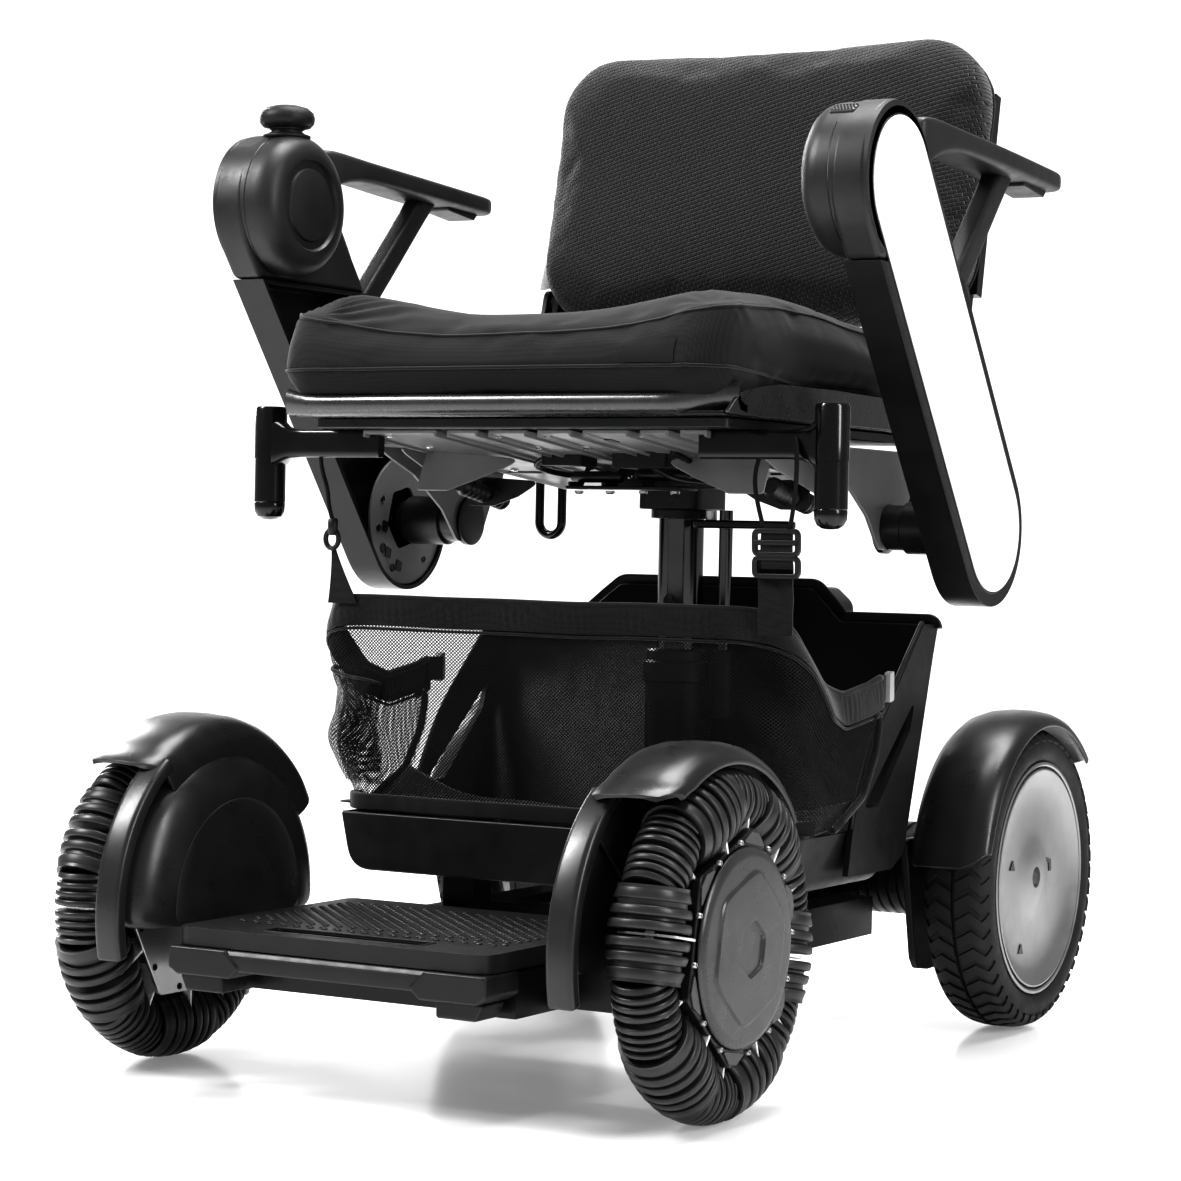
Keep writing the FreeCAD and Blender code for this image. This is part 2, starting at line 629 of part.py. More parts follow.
def make_tub():
    """Open tub: a low tray in front, side pillars with a slanted slot, and a back wall."""
    half = dim("tub_half_width")
    wall = dim("tub_wall")
    front = dim("tub_front_y")
    bottom = dim("tub_bottom")
    top = dim("tub_back_top")
    outer = tub_block(half, front, bottom, 0, 24)
    inner = tub_block(half - wall, front + wall, bottom + wall, wall, 20)
    inner = inner.fuse(Part.makeBox(2 * half - 60, 150, 100, Vector(-half + 30, front + 40, top - 20)))
    tub = outer.cut(inner)
    # all that stands above the tray, in front of the pillars' slanted front edge
    above_tray = prism([
        (front - 5, dim("tray_top")), (18, dim("tray_top")), (26, 208), (62, 266),
        (155, 357), (155, top + 5), (front - 5, top + 5)], -half - 5, half + 5)
    slot = prism([(140, 294), (36, 206), (67, 207), (119, 257), (130, 267)], -half - 5, half + 5)
    tub = tub.cut([above_tray, slot])
    # the back wall is taller between the pillars than at them
    side_top = dim("tub_side_top")
    shoulder = [(97, top + 5), (97, top), (128, side_top), (half + 9, side_top), (half + 9, top + 5)]
    for sign in (1, -1):
        tub = tub.cut(prism([(sign * a, b) for a, b in shoulder], 100, 260, Y_AXIS))
    # the post's socket comes up through the tub
    tub = tub.cut(Part.makeCylinder(dim("socket_radius") + 0.4, 200, Vector(0, dim("post_y"), bottom - 5)))
    solid("tub_shell", tub.removeSplitter())


def make_battery():
    """Battery case that stands behind the tub on a shelf, with a pull handle at the back."""
    case = rounded_box(Vector(-108, 194, 178.3), Vector(108, 250, 386), 20)
    grip = rounded_box(Vector(-45, 262, 330), Vector(45, 274, 346), 5)
    arms = [Part.makeBox(10, 20, 12, Vector(x, 248, 332)) for x in (-43, 33)]
    solid("battery_pack", joined([case, grip] + arms))


def make_controller():
    """Motor controller that lies on the floor of the tray."""
    solid("controller_box", rounded_box(Vector(-120, -85, 145), Vector(120, 40, 183), 6))


# ---------------------------------------------------------------- seat support

def make_post():
    """Fixed socket, the post that slides in it, and the thin rod beside them."""
    place = ("0", "dims.post_y")
    low = "dims.rail_bottom + dims.rail_height + 0.3"
    tube = cylinder("socket_tube", "dims.socket_radius", f"dims.socket_top - ({low})", *place, low)
    flange = cylinder("socket_flange", "48", "10", *place, low)
    sleeve = cylinder("guide_sleeve", "dims.guide_radius + 4", "60", "dims.guide_x", "dims.post_y",
                      "dims.socket_top - 60")
    web = box("guide_web", "0", "dims.post_y - 4", "dims.socket_top - 50", "dims.guide_x", "8", "40")
    solid_socket = fuse("socket_solid", [tube, flange, sleeve, web])
    bore = cylinder("post_bore", "dims.post_radius + dims.running_gap", "400", *place, f"{low} + 8")
    guide_bore = cylinder("guide_bore", "dims.guide_radius + dims.running_gap", "80", "dims.guide_x",
                          "dims.post_y", "dims.socket_top - 70")
    socket = cut("post_socket", solid_socket, fuse("socket_bores", [bore, guide_bore]))
    keep(socket, "post_socket")
    post = cylinder("post_tube", "dims.post_radius", "dims.post_top - 160", *place, "160")
    hole = cylinder("post_hole", "5", "60", "0", "dims.post_y - 30", "372", Y_AXIS)
    guide = cylinder("guide_rod", "dims.guide_radius", "dims.post_top - 282", "dims.guide_x",
                     "dims.post_y", "282")
    keep(fuse("seat_post", [cut("drilled_post", post, hole), guide]), "seat_post")


def make_seat_frame():
    """Channels under the seat pan, the head that grips the post, and side plates that carry the arms."""
    pan = dim("pan_z")
    under = pan - 0.3
    post_y = dim("post_y")
    foot_y = dim("arm_foot_y")
    foot_z = dim("arm_foot_z")
    back_y = dim("back_hinge_y")
    back_z = dim("back_hinge_z")
    pieces = []
    for x in (-150, -62, 40, 128):
        pieces.append(Part.makeBox(22, 350, 16, Vector(x, -160, under - 16)))
    pieces.append(Part.makeBox(300, 30, 14, Vector(-150, -150, under - 30)))
    pieces.append(Part.makeBox(420, 26, 22, Vector(-210, foot_y - 13, under - 38)))
    pieces.append(Part.makeBox(300, 24, 14, Vector(-150, 166, under - 30)))
    head = Part.makeBox(124, 100, 45, Vector(-62, post_y - 50, dim("post_top")))
    pieces.append(head)
    for _, side in SIDES:
        plate = prism([(-120, under - 16), (foot_y + 60, under - 16), (foot_y + 34, foot_z - 8),
                       (foot_y - 20, foot_z - 24), (-60, under - 40)], 206, 210)
        boss = Part.makeCylinder(22, 62, Vector(206, foot_y, foot_z), X_AXIS)
        pivot = Part.makeCylinder(8, 96, Vector(206, foot_y, foot_z), X_AXIS)
        tie = Part.makeBox(60, 80, 6, Vector(148, foot_y - 60, under - 22))
        back_foot = Part.makeBox(62, 30, 5, Vector(150, 172, pan - 20))
        back_post = prism([(180, pan - 20), (216, pan - 20), (back_y + 15, back_z), (back_y + 9, back_z + 13),
                           (back_y - 9, back_z + 13), (back_y - 14, back_z - 6)], 206, 212)
        back_pin = Part.makeCylinder(5, 19, Vector(193, back_y, back_z), X_AXIS)
        shapes = (plate, boss, pivot, tie, back_foot, back_post, back_pin)
        pieces += [mirrored(shape, side) for shape in shapes]
    solid("seat_frame", joined(pieces))
    loops = []
    for _, side in SIDES:
        x = side * 189
        low = Vector(x, 209, 440)
        wide = Vector(12, 0, 0)
        high = Vector(0, 0, under - 16 - low.z)
        bend = Part.Arc(low - wide, low - Vector(0, 0, wide.x), low + wide).toShape()
        path = Part.Wire([Part.makeLine(low - wide + high, low - wide), bend,
                          Part.makeLine(low + wide, low + wide + high)])
        section = Part.Wire(Part.makeCircle(4.2, low - wide + high, Z_AXIS))
        loop = path.makePipeShell([section], True, True)
        tab = mirrored(Part.makeBox(35, 16, 4, Vector(170, 203, under - 18)), side)
        loops.append(joined([loop, tab]))
    solid("lift_loops", Part.makeCompound(loops))


def make_lever():
    """Flat release lever under the seat, beside the post."""
    paddle = Part.makeBox(92, 26, 7, Vector(34, 66, 436))
    upright = [edge for edge in paddle.Edges if runs_along(edge, Z_AXIS)]
    paddle = paddle.makeFillet(9, upright)
    pin = Part.makeCylinder(5, 15.5, Vector(48, 79, 436))
    solid("release_lever", joined([paddle, pin]))


def make_pan():
    """Seat pan: a thin tray with a rolled front lip and low side flanges."""
    half = dim("pan_half_width")
    front = dim("pan_front_y")
    rear = dim("pan_rear_y")
    z = dim("pan_z")
    wall = dim("pan_thickness")
    plate = Part.makeBox(2 * half, rear - front, wall, Vector(-half, front, z))
    lip = rod(Vector(-half, front, z + 8.5), Vector(half, front, z + 8.5), 7.5)
    pieces = [plate, lip]
    for _, side in SIDES:
        outline = [(front + 20, z), (rear, z), (rear, z + 26), (front + 90, z + 26), (front + 50, z + 16)]
        flange = prism(outline, half + 2, half + 2 + wall)
        foot = Part.makeBox(6 + wall, rear - front - 20, wall, Vector(half - 4, front + 20, z))
        pieces += [mirrored(flange, side), mirrored(foot, side)]
    solid("seat_pan", joined(pieces))


def make_grip(name, side):
    """T-shaped hand grip: an upright round bar on a flat arm that bolts under the seat."""
    low = dim("grip_bottom")
    shoulder = dim("grip_bar_z") - 18
    bar = Part.makeCylinder(dim("grip_radius"), shoulder - low, Vector(dim("grip_x"), dim("grip_y"), low))
    sleeve = Part.makeCylinder(dim("grip_radius") + 0.5, dim("grip_top") - shoulder,
                               Vector(dim("grip_x"), dim("grip_y"), shoulder))
    upright = joined([bar, sleeve])
    ends = [edge for edge in upright.Edges if isinstance(edge.Curve, Part.Circle)
            and min(edge.CenterOfMass.z - low, dim("grip_top") - edge.CenterOfMass.z) < 1]
    upright = upright.makeFillet(5, ends)
    arm = Part.makeBox(dim("grip_x") - 150, 12, 24, Vector(150, dim("grip_y") - 6, dim("grip_bar_z") - 17))
    solid(f"front_grip_{name}", mirrored(joined([upright, arm]), side))


# ---------------------------------------------------------------- cushions

def make_cushion():
    """Seat cushion: a block with a slanted front."""
    half = dim("cushion_half_width")
    front = dim("cushion_front_y")
    rear = dim("cushion_rear_y")
    low = dim("cushion_bottom")
    high = dim("cushion_top")
    shape = prism([(front + 32, low), (rear, low), (rear, high - 14), (40, high - 22), (front + 80, high),
                   (front + 30, high - 12), (front, low + 26)], -half, half)
    solid("seat_cushion", shape.makeFillet(9, [edge for edge in shape.Edges if runs_along(edge, X_AXIS)]))


def leaning(shape):
    """Lean a shape back about the backrest's hinge line."""
    shape.rotate(Vector(0, dim("back_hinge_y"), dim("back_hinge_z")), X_AXIS, -dim("back_recline"))
    return shape


def make_backrest():
    """Back cushion with a frame behind it that folds on two low posts."""
    half = dim("back_half_width")
    hinge_y = dim("back_hinge_y")
    hinge_z = dim("back_hinge_z")
    low = dim("back_bottom")
    high = dim("back_top") + 2
    front = hinge_y - 26
    rear = front + dim("back_thickness")
    pad_shape = Part.makeBox(2 * half, rear - front, high - low, Vector(-half, front, low))
    corners = [edge for edge in pad_shape.Edges if runs_along(edge, Y_AXIS)]
    pad_shape = pad_shape.makeFillet(48, corners)
    around = [edge for edge in pad_shape.Edges
              if abs(edge.CenterOfMass.y - front) < 1e-3 or abs(edge.CenterOfMass.y - rear) < 1e-3]
    pad_shape = pad_shape.makeFillet(20, around)
    cheeks = [Part.makeBox(30, 110, 75, Vector(x, hinge_y - 50, hinge_z - 50)) for x in (-218, 188)]
    solid("back_cushion", leaning(pad_shape).cut(cheeks))
    back = rear + 0.5
    frame = []
    for _, side in SIDES:
        upright = Part.makeBox(16, 12, high - low - 70, Vector(192, back, low + 30))
        hinge_plate = Part.makeBox(6, back + 12 - hinge_y + 12, 26, Vector(194, hinge_y - 12, hinge_z - 13))
        frame += [mirrored(upright, side), mirrored(hinge_plate, side)]
    shell = Part.makeBox(2 * 195, 4, 150, Vector(-195, back + 4, low + 78))
    frame.append(shell)
    bar = leaning(joined(frame))
    bore = Part.makeCylinder(5 + dim("running_gap"), 500, Vector(-250, hinge_y, hinge_z), X_AXIS)
    solid("back_frame", bar.cut(bore))


# ---------------------------------------------------------------- arms

def make_arm(name, side):
    foot = (dim("arm_foot_y"), dim("arm_foot_z"))
    top = (dim("arm_top_y"), dim("arm_top_z"))
    radius = dim("arm_radius")
    inner = dim("arm_inner_x")
    outer = dim("arm_outer_x")
    wall = 4
    pod_at = Vector(0, dim("pod_y"), dim("pod_z"))
    shell = capsule(foot, top, radius, inner, outer)
    hollow = capsule(foot, top, radius - wall, inner - 1, outer - wall)
    pod_room = Part.makeCylinder(dim("pod_radius") + 0.5, outer, Vector(150, pod_at.y, pod_at.z), X_AXIS)
    beyond = Part.makeBox(200, 400, 200, Vector(200, pod_at.y - 200, dim("arm_split_z")))
    shell = shell.cut([hollow, pod_room, beyond])
    shell = max(shell.Solids, key=lambda item: item.Volume)
    inner_plate = Part.makeCylinder(radius - wall + 0.5, 4, Vector(inner + 2, *foot), X_AXIS)
    window = prism([(foot[0] - 34, foot[1] + 30), (foot[0] - 8, foot[1] + 40), (foot[0] + 20, foot[1] + 22),
                    (foot[0] + 10, foot[1] + 14), (foot[0] - 26, foot[1] + 14)], inner, inner + 10)
    plate_bore = Part.makeCylinder(8 + dim("running_gap"), 60, Vector(inner - 10, *foot), X_AXIS)
    shell = joined([shell, inner_plate.cut(window)])
    boss = Part.makeCylinder(14, outer - inner - 4, Vector(inner + 2, *foot), X_AXIS)
    shell = joined([shell, boss]).cut(plate_bore)
    solid(f"arm_shell_{name}", mirrored(shell, side))
    panel = capsule(foot, top, dim("panel_radius"), outer + 0.2, outer + 0.2 + dim("panel_thickness"))
    outside = outer + 0.2 + dim("panel_thickness")
    face = [edge for edge in panel.Edges if abs(edge.CenterOfMass.x - outside) < 1e-3]
    solid(f"arm_panel_{name}", mirrored(panel.makeFillet(1.4, face), side))


def make_pod(name, side):
    """Control pod: a drum, and behind the white panel the arm's own round end."""
    start = Vector(dim("pod_x"), dim("pod_y"), dim("pod_z"))
    drum = Part.makeCylinder(dim("pod_radius"), dim("pod_width"), start, X_AXIS)
    inner_rim = [edge for edge in drum.Edges
                 if isinstance(edge.Curve, Part.Circle) and abs(edge.Curve.Center.x - start.x) < 1e-6]
    drum = drum.makeFillet(10, inner_rim)
    slab = capsule((dim("arm_foot_y"), dim("arm_foot_z")), (dim("arm_top_y"), dim("arm_top_z")),
                   dim("arm_radius"), dim("arm_inner_x"), dim("arm_outer_x"))
    lower_arm = Part.makeBox(200, 500, 400, Vector(200, start.y - 200, dim("arm_split_z") + 0.5 - 400))
    pod = joined([drum, slab.cut(lower_arm)])
    middle = dim("pod_x") + dim("pod_width") / 2
    if side < 0:
        well = Part.makeCone(9, 15, 36, Vector(middle, start.y, start.z + 26))
        boot_seat = Part.makeCylinder(18, 10, Vector(middle, start.y, start.z + dim("pod_radius") - 0.2))
        pod = pod.cut([well, Part.makeSphere(13, Vector(middle, start.y, start.z + 31)), boot_seat])
    else:
        well = Part.makeBox(23, 14, 24, Vector(middle - 11.5, -7, -14))
        well.translate(Vector(0, 0, dim("pod_radius")))
        well.rotate(Vector(middle, 0, 0), X_AXIS, 32)
        well.translate(Vector(0, start.y, start.z))
        pod = pod.cut(well)
    solid(f"control_pod_{name}", mirrored(pod, side))


def make_speed_button():
    """Rocker-sized push button in the front of the left pod."""
    middle = dim("pod_x") + dim("pod_width") / 2
    button = rounded_box(Vector(middle - 11, -6.5, -8), Vector(middle + 11, 6.5, 1.6), 2.5)
    button.translate(Vector(0, 0, dim("pod_radius")))
    button.rotate(Vector(middle, 0, 0), X_AXIS, 32)
    button.translate(Vector(0, dim("pod_y"), dim("pod_z")))
    solid("speed_button", button)


def make_joystick():
    """Stick on the right pod: a gimbal ball, a boot, and the knob with its stem."""
    middle = -(dim("pod_x") + dim("pod_width") / 2)
    place = Vector(middle, dim("pod_y"), dim("pod_z") + 31)
    ball = Part.makeSphere(12.9, place)
    ball = ball.cut(Part.makeCylinder(4 + dim("running_gap"), 30, place - Vector(0, 15, 0), Y_AXIS))
    ball = ball.cut(Part.makeBox(14, 9, 20, place - Vector(7, 4.5, 5)))
    solid("joystick_gimbal", ball)
    trunnion = Part.makeCylinder(4, 15, place - Vector(0, 7.5, 0), Y_AXIS)
    stem = Part.makeCylinder(4, 44, place)
    knob = Part.makeCylinder(20.5, 17.5, place + Vector(0, 0, 34.5))
    rims = [edge for edge in knob.Edges if isinstance(edge.Curve, Part.Circle)]
    knob = knob.makeFillet(6, rims)
    solid("joystick_knob", joined([trunnion, stem, knob]))
    boot = Part.makeCone(16, 13, 4.7, place + Vector(0, 0, 29.3))
    boot = boot.cut(Part.makeCylinder(4.5, 12, place + Vector(0, 0, 26)))
    solid("joystick_boot", boot)


def make_armrest(name, side):
    """Elbow pad on a slanted strut; with the arm it frames an open triangle."""
    x = dim("armrest_x")
    half = dim("armrest_half_width")
    rear = dim("armrest_rear_y")
    top = dim("armrest_top")
    side_view = [(-40, top - 14), (-40, top + 2), (rear, top - 4), (rear, top - 20)]
    pad_shape = prism(side_view, x - half, x + half)
    strut = prism([(100, top - 16), (142, top - 17), (36, 628), (14, 632)], x - 10, x + 12)
    front_member = prism([(-52, top - 12), (-34, top + 1), (-22, top - 15), (38, 640), (24, 618), (14, 622)],
                         x - 10, x + 12)
    rest = joined([pad_shape, strut, front_member])
    arm_room = capsule((dim("arm_foot_y"), dim("arm_foot_z")), (dim("arm_top_y"), dim("arm_top_z")),
                       dim("arm_radius") + 0.1, x - 60, x + 60)
    rest = max(rest.cut(arm_room).Solids, key=lambda item: item.Volume)
    solid(f"armrest_{name}", mirrored(rest, side))


# ---------------------------------------------------------------- basket

def make_basket():
    """Soft basket: a front panel, two side wings with a dipped rim, and a floor."""
    half = dim("basket_half_width")
    skin = dim("basket_skin")
    front = dim("basket_front_y")
    top = dim("basket_top")
    bottom = dim("basket_bottom")
    wing_outline = [(front, top), (front + 34, bottom), (-30, bottom + 2), (22, 222), (48, 258), (52, 288),
                    (68, 294), (68, 316), (-20, 303), (-60, 318), (-88, 345)]
    pieces = [prism([(front, top), (front + 34, bottom), (front + 34 + skin, bottom), (front + skin, top)],
                    -half, half)]
    for _, side in SIDES:
        wing = prism(wing_outline, half - skin, half)
        pieces.append(mirrored(wing, side))
    pieces.append(Part.makeBox(2 * half - 2, dim("basket_floor_rear_y") - front - 34, skin,
                               Vector(-half + 1, front + 34, bottom)))
    solid("basket", joined(pieces))
    straps = []
    for _, side in SIDES:
        web = Part.makeBox(24, 2.5, 70, Vector(196, -134, 362))
        buckle = Part.makeBox(30, 6, 22, Vector(193, -136, 402))
        cord = Part.makeBox(4, 4, 64, Vector(206, -134, 424))
        straps.append(mirrored(joined([web, buckle, cord]), side))
    solid("basket_straps", Part.makeCompound(straps))


# ---------------------------------------------------------------- build and export

def check_document():
    """Stop if any object failed, or if any sub-part has no valid solid."""
    doc.recompute()
    for obj in doc.Objects:
        if "Invalid" in obj.State or "Error" in obj.State:
            raise RuntimeError(f"{obj.Label} is in state {obj.State}")
    for node in nodes:
        shape = node.Shape
        if shape.isNull() or not shape.isValid() or not shape.Solids:
            raise RuntimeError(f"{node.Label} has no valid solid")


def build():
    for name, side in SIDES:
        make_rollers(name, side)
        make_front_hub(name, side)
        make_front_cap(name, side)
        make_rear_wheel(name, side)
        make_drive(name, side)
        make_front_fender(name, side)
        make_rear_fender(name, side)
        make_grip(name, side)
        make_arm(name, side)
        make_pod(name, side)
        make_armrest(name, side)
    make_chassis()
    make_footplate()
    make_bumper()
    make_wheel_covers()
    make_tub()
    make_controller()
    make_battery()
    make_post()
    make_seat_frame()
    make_lever()
    make_pan()
    make_cushion()
    make_backrest()
    make_speed_button()
    make_joystick()
    make_basket()


def centre_outline():
    """Slide every sub-part along Y by the shift, keeping the formula of any bound place."""
    for node in nodes:
        bound = {path.lstrip("."): formula for path, formula in node.ExpressionEngine}
        place = bound.get("Placement.Base.y", str(node.Placement.Base.y))
        node.setExpression("Placement.Base.y", f"{place} + dims.outline_shift")


build()
centre_outline()
check_document()
os.makedirs("parts", exist_ok=True)
for node in nodes:
    node.Shape.exportStep(os.path.join("parts", node.Label + ".step"))
low = min(node.Shape.BoundBox.YMin for node in nodes)
high = max(node.Shape.BoundBox.YMax for node in nodes)
print(len(nodes), "sub-parts; front", round(low, 1), "rear", round(high, 1))
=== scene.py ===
"""Power wheelchair: looks built around the fixed frame.

Shapes are written in millimetres: +X is the sitter's left, the chair faces -Y, and +Z is up.
y is counted as in the design, and design_shift moves it onto the frame.
"""

import math
import random

import bmesh
import bpy
from mathutils import Matrix, Vector
from mathutils.bvhtree import BVHTree


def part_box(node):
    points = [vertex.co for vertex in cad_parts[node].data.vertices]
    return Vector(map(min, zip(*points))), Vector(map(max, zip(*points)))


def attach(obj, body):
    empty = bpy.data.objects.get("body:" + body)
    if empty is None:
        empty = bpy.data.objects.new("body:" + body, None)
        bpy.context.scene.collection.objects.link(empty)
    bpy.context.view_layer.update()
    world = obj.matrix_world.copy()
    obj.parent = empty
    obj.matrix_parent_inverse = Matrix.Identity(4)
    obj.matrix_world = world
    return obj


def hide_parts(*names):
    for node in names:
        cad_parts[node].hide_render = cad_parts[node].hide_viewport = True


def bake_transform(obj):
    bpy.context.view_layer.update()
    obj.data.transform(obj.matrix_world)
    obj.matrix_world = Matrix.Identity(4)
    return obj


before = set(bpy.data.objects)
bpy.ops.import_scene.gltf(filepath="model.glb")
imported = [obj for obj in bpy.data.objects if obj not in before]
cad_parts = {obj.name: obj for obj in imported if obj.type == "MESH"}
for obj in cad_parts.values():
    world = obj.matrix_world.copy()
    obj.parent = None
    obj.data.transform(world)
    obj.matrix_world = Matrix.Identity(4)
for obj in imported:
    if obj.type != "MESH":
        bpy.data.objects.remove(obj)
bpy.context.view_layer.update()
MM = 0.001
SIDES = (("left", 1), ("right", -1))
WORLD_DIM = 0.30
random.seed(7)


def middle_of(node):
    """Centre of a CAD node's box, in millimetres."""
    low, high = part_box(node)
    return (low + high) / 2 / MM


FRONT_AXLE = middle_of("front_cap_left")
REAR_AXLE = middle_of("rear_rim_left")
# Measures in millimetres that several parts share; the camera's place is in metres.
DESIGN_FRONT_AXLE_Y = -288
design_shift = FRONT_AXLE.y - DESIGN_FRONT_AXLE_Y
FRONT_CENTRE = (DESIGN_FRONT_AXLE_Y, FRONT_AXLE.z)
REAR_CENTRE = (283, REAR_AXLE.z)
FRONT_WHEEL_X = 247
REAR_WHEEL_X = 249
TREAD = 130
TREAD_COUNT = 50
BIG_SHAFT_AT = 100
SMALL_SHAFT_AT = 106
HUB_FACE_X = 271
FIRST_FLAT = {"left": 20, "right": 0}
GRIP_Y = -138
POST_Y = 115
DECK_FRONT = -424
SEAT_SHIFT = -4
ARM_INNER_X = 271
ARM_OUTER_X = 303
POD_X = 242
BUTTON_LEAN = 32
CAMERA_TURN = (0.5194, -0.013, 0.0209)
CAMERA_PLACE = (1.2615, -1.9755, 0.4184)


# ---------------------------------------------------------------- mesh helpers

class Shape:
    """Points in millimetres and the faces between them."""

    def __init__(self):
        self.points = []
        self.faces = []

    def add(self, points, faces):
        start = len(self.points)
        self.points += [Vector(point) for point in points]
        self.faces += [[start + index for index in face] for face in faces]
        return self

    def join(self, other):
        return self.add(other.points, other.faces)

    def moved(self, matrix):
        turned = Shape()
        turned.points = [matrix @ point for point in self.points]
        turned.faces = [list(face) for face in self.faces]
        return turned

    def stood_up(self):
        """A flat plate turned on edge: its x, y and z become y, z and x."""
        turned = Shape()
        turned.points = [Vector((point.z, point.x, point.y)) for point in self.points]
        turned.faces = self.faces
        return turned

    def flipped_x(self):
        """Mirror image across the chair's middle plane."""
        other = Shape()
        other.points = [Vector((-point.x, point.y, point.z)) for point in self.points]
        other.faces = [list(reversed(face)) for face in self.faces]
        return other

    def on_side(self, side):
        return self if side > 0 else self.flipped_x()


def make(name, shape, body, material, replaces=(), bevel=0.0, segments=3, subdivide=0,
         sharp=35, bevel_angle=30):
    """Turn a shape into a piece that rides on a body; one with no body is left unattached for the caller."""
    mesh = bpy.data.meshes.new(name)
    places = [(p.x * MM, (p.y + design_shift) * MM, p.z * MM) for p in shape.points]
    mesh.from_pydata(places, [], shape.faces)
    mesh.validate()
    cleaned = bmesh.new()
    cleaned.from_mesh(mesh)
    bmesh.ops.remove_doubles(cleaned, verts=cleaned.verts, dist=1e-6)
    bmesh.ops.recalc_face_normals(cleaned, faces=cleaned.faces)
    cleaned.to_mesh(mesh)
    cleaned.free()
    mesh.shade_smooth()
    if sharp < 180:
        mesh.set_sharp_from_angle(angle=math.radians(sharp))
    piece = bpy.data.objects.new(name, mesh)
    bpy.context.scene.collection.objects.link(piece)
    if bevel:
        rounding = piece.modifiers.new("rounding", "BEVEL")
        rounding.width = bevel * MM
        rounding.segments = segments
        rounding.limit_method = "ANGLE"
        rounding.angle_limit = math.radians(bevel_angle)
        rounding.harden_normals = True
    if subdivide:
        smoothing = piece.modifiers.new("smoothing", "SUBSURF")
        smoothing.levels = smoothing.render_levels = subdivide
    mesh.materials.append(MATERIALS[material])
    if body:
        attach(piece, body)
    if replaces:
        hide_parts(*replaces)
    return piece


def lathe(profile, centre, direction=1, steps=72, axis="x", closed=False):
    """Turn (along, radius) points about an axis line through a centre."""
    shape = Shape()
    centre = Vector(centre)
    count = len(profile)
    points = []
    for step in range(steps):
        turn = 2 * math.pi * step / steps
        for along, radius in profile:
            offset = (direction * along, radius * math.cos(turn), radius * math.sin(turn))
            if axis == "y":
                offset = (offset[1], offset[0], offset[2])
            if axis == "z":
                offset = (offset[1], offset[2], offset[0])
            points.append(centre + Vector(offset))
    faces = []
    runs = count if closed else count - 1
    for step in range(steps):
        following = (step + 1) % steps
        for index in range(runs):
            other = (index + 1) % count
            faces.append((step * count + index, step * count + other,
                          following * count + other, following * count + index))
    if not closed:
        faces.append([step * count for step in range(steps)])
        faces.append([step * count + count - 1 for step in reversed(range(steps))])
    return shape.add(points, faces)


def plate(outline, start, end, along="x"):
    """Extrude a flat outline: (y, z) along X, (x, z) along Y, or (x, y) along Z."""
    def spot(a, b, level):
        if along == "x":
            return (level, a, b)
        if along == "y":
            return (a, level, b)
        return (a, b, level)
    count = len(outline)
    points = [spot(a, b, level) for level in (start, end) for a, b in outline]
    faces = [list(range(count)), list(reversed(range(count, 2 * count)))]
    faces += [(i, (i + 1) % count, count + (i + 1) % count, count + i) for i in range(count)]
    return Shape().add(points, faces)


def corners_of(left, low, right, high):
    """The four corners of an upright rectangle."""
    return [(left, low), (right, low), (right, high), (left, high)]


def rounded(outline, radius, steps=6):
    """An outline with its corners rounded; radius is one number or one for each corner."""
    count = len(outline)
    radii = radius if isinstance(radius, (list, tuple)) else [radius] * count
    result = []
    for index, corner in enumerate(outline):
        here = Vector(corner)
        before = (Vector(outline[index - 1]) - here)
        after = (Vector(outline[(index + 1) % count]) - here)
        angle = before.angle(after)
        reach = radii[index] / math.tan(angle / 2) if angle < math.pi - 0.02 else 0
        reach = min(reach, before.length * 0.49, after.length * 0.49)
        if reach < 0.01:
            result.append(tuple(here))
            continue
        first = here + before.normalized() * reach
        last = here + after.normalized() * reach
        for step in range(steps + 1):
            t = step / steps
            point = first * (1 - t) ** 2 + here * 2 * t * (1 - t) + last * t ** 2
            result.append(tuple(point))
    return result


def rounded_box(left, low, right, high, radius, steps=6):
    return rounded(corners_of(left, low, right, high), radius, steps)


def loft(loops, ring=False):
    """Skin a list of loops that have the same number of points; a ring has no ends to close."""
    count = len(loops[0])
    points = [point for loop in loops for point in loop]
    faces = []
    total = len(loops)
    for k in range(total if ring else total - 1):
        after = (k + 1) % total
        for i in range(count):
            j = (i + 1) % count
            faces.append((k * count + i, k * count + j, after * count + j, after * count + i))
    if not ring:
        faces.append(list(reversed(range(count))))
        faces.append(list(range((total - 1) * count, total * count)))
    return Shape().add(points, faces)


def smooth_path(points, steps=8):
    """Catmull-Rom curve through a few points."""
    points = [Vector(point) for point in points]
    ends = [points[0] * 2 - points[1]] + points + [points[-1] * 2 - points[-2]]
    result = []
    for index in range(1, len(ends) - 2):
        p0, p1, p2, p3 = ends[index - 1:index + 3]
        for step in range(steps):
            t = step / steps
            result.append(0.5 * (2 * p1 + (p2 - p0) * t + (2 * p0 - 5 * p1 + 4 * p2 - p3) * t * t
                                 + (3 * p1 - p0 - 3 * p2 + p3) * t ** 3))
    result.append(points[-1])
    return result


def frames_along(path, ring=False):
    """Two cross directions at each point of a path, turning as little as possible."""
    count = len(path)
    tangents = []
    for index in range(count):
        before = path[index - 1] if (ring or index) else path[0]
        after = path[(index + 1) % count] if (ring or index < count - 1) else path[-1]
        tangents.append((after - before).normalized())
    side = tangents[0].orthogonal().normalized()
    sides = []
    for tangent in tangents:
        side = (side - tangent * side.dot(tangent)).normalized()
        sides.append((side.copy(), tangent.cross(side).normalized()))
    return sides


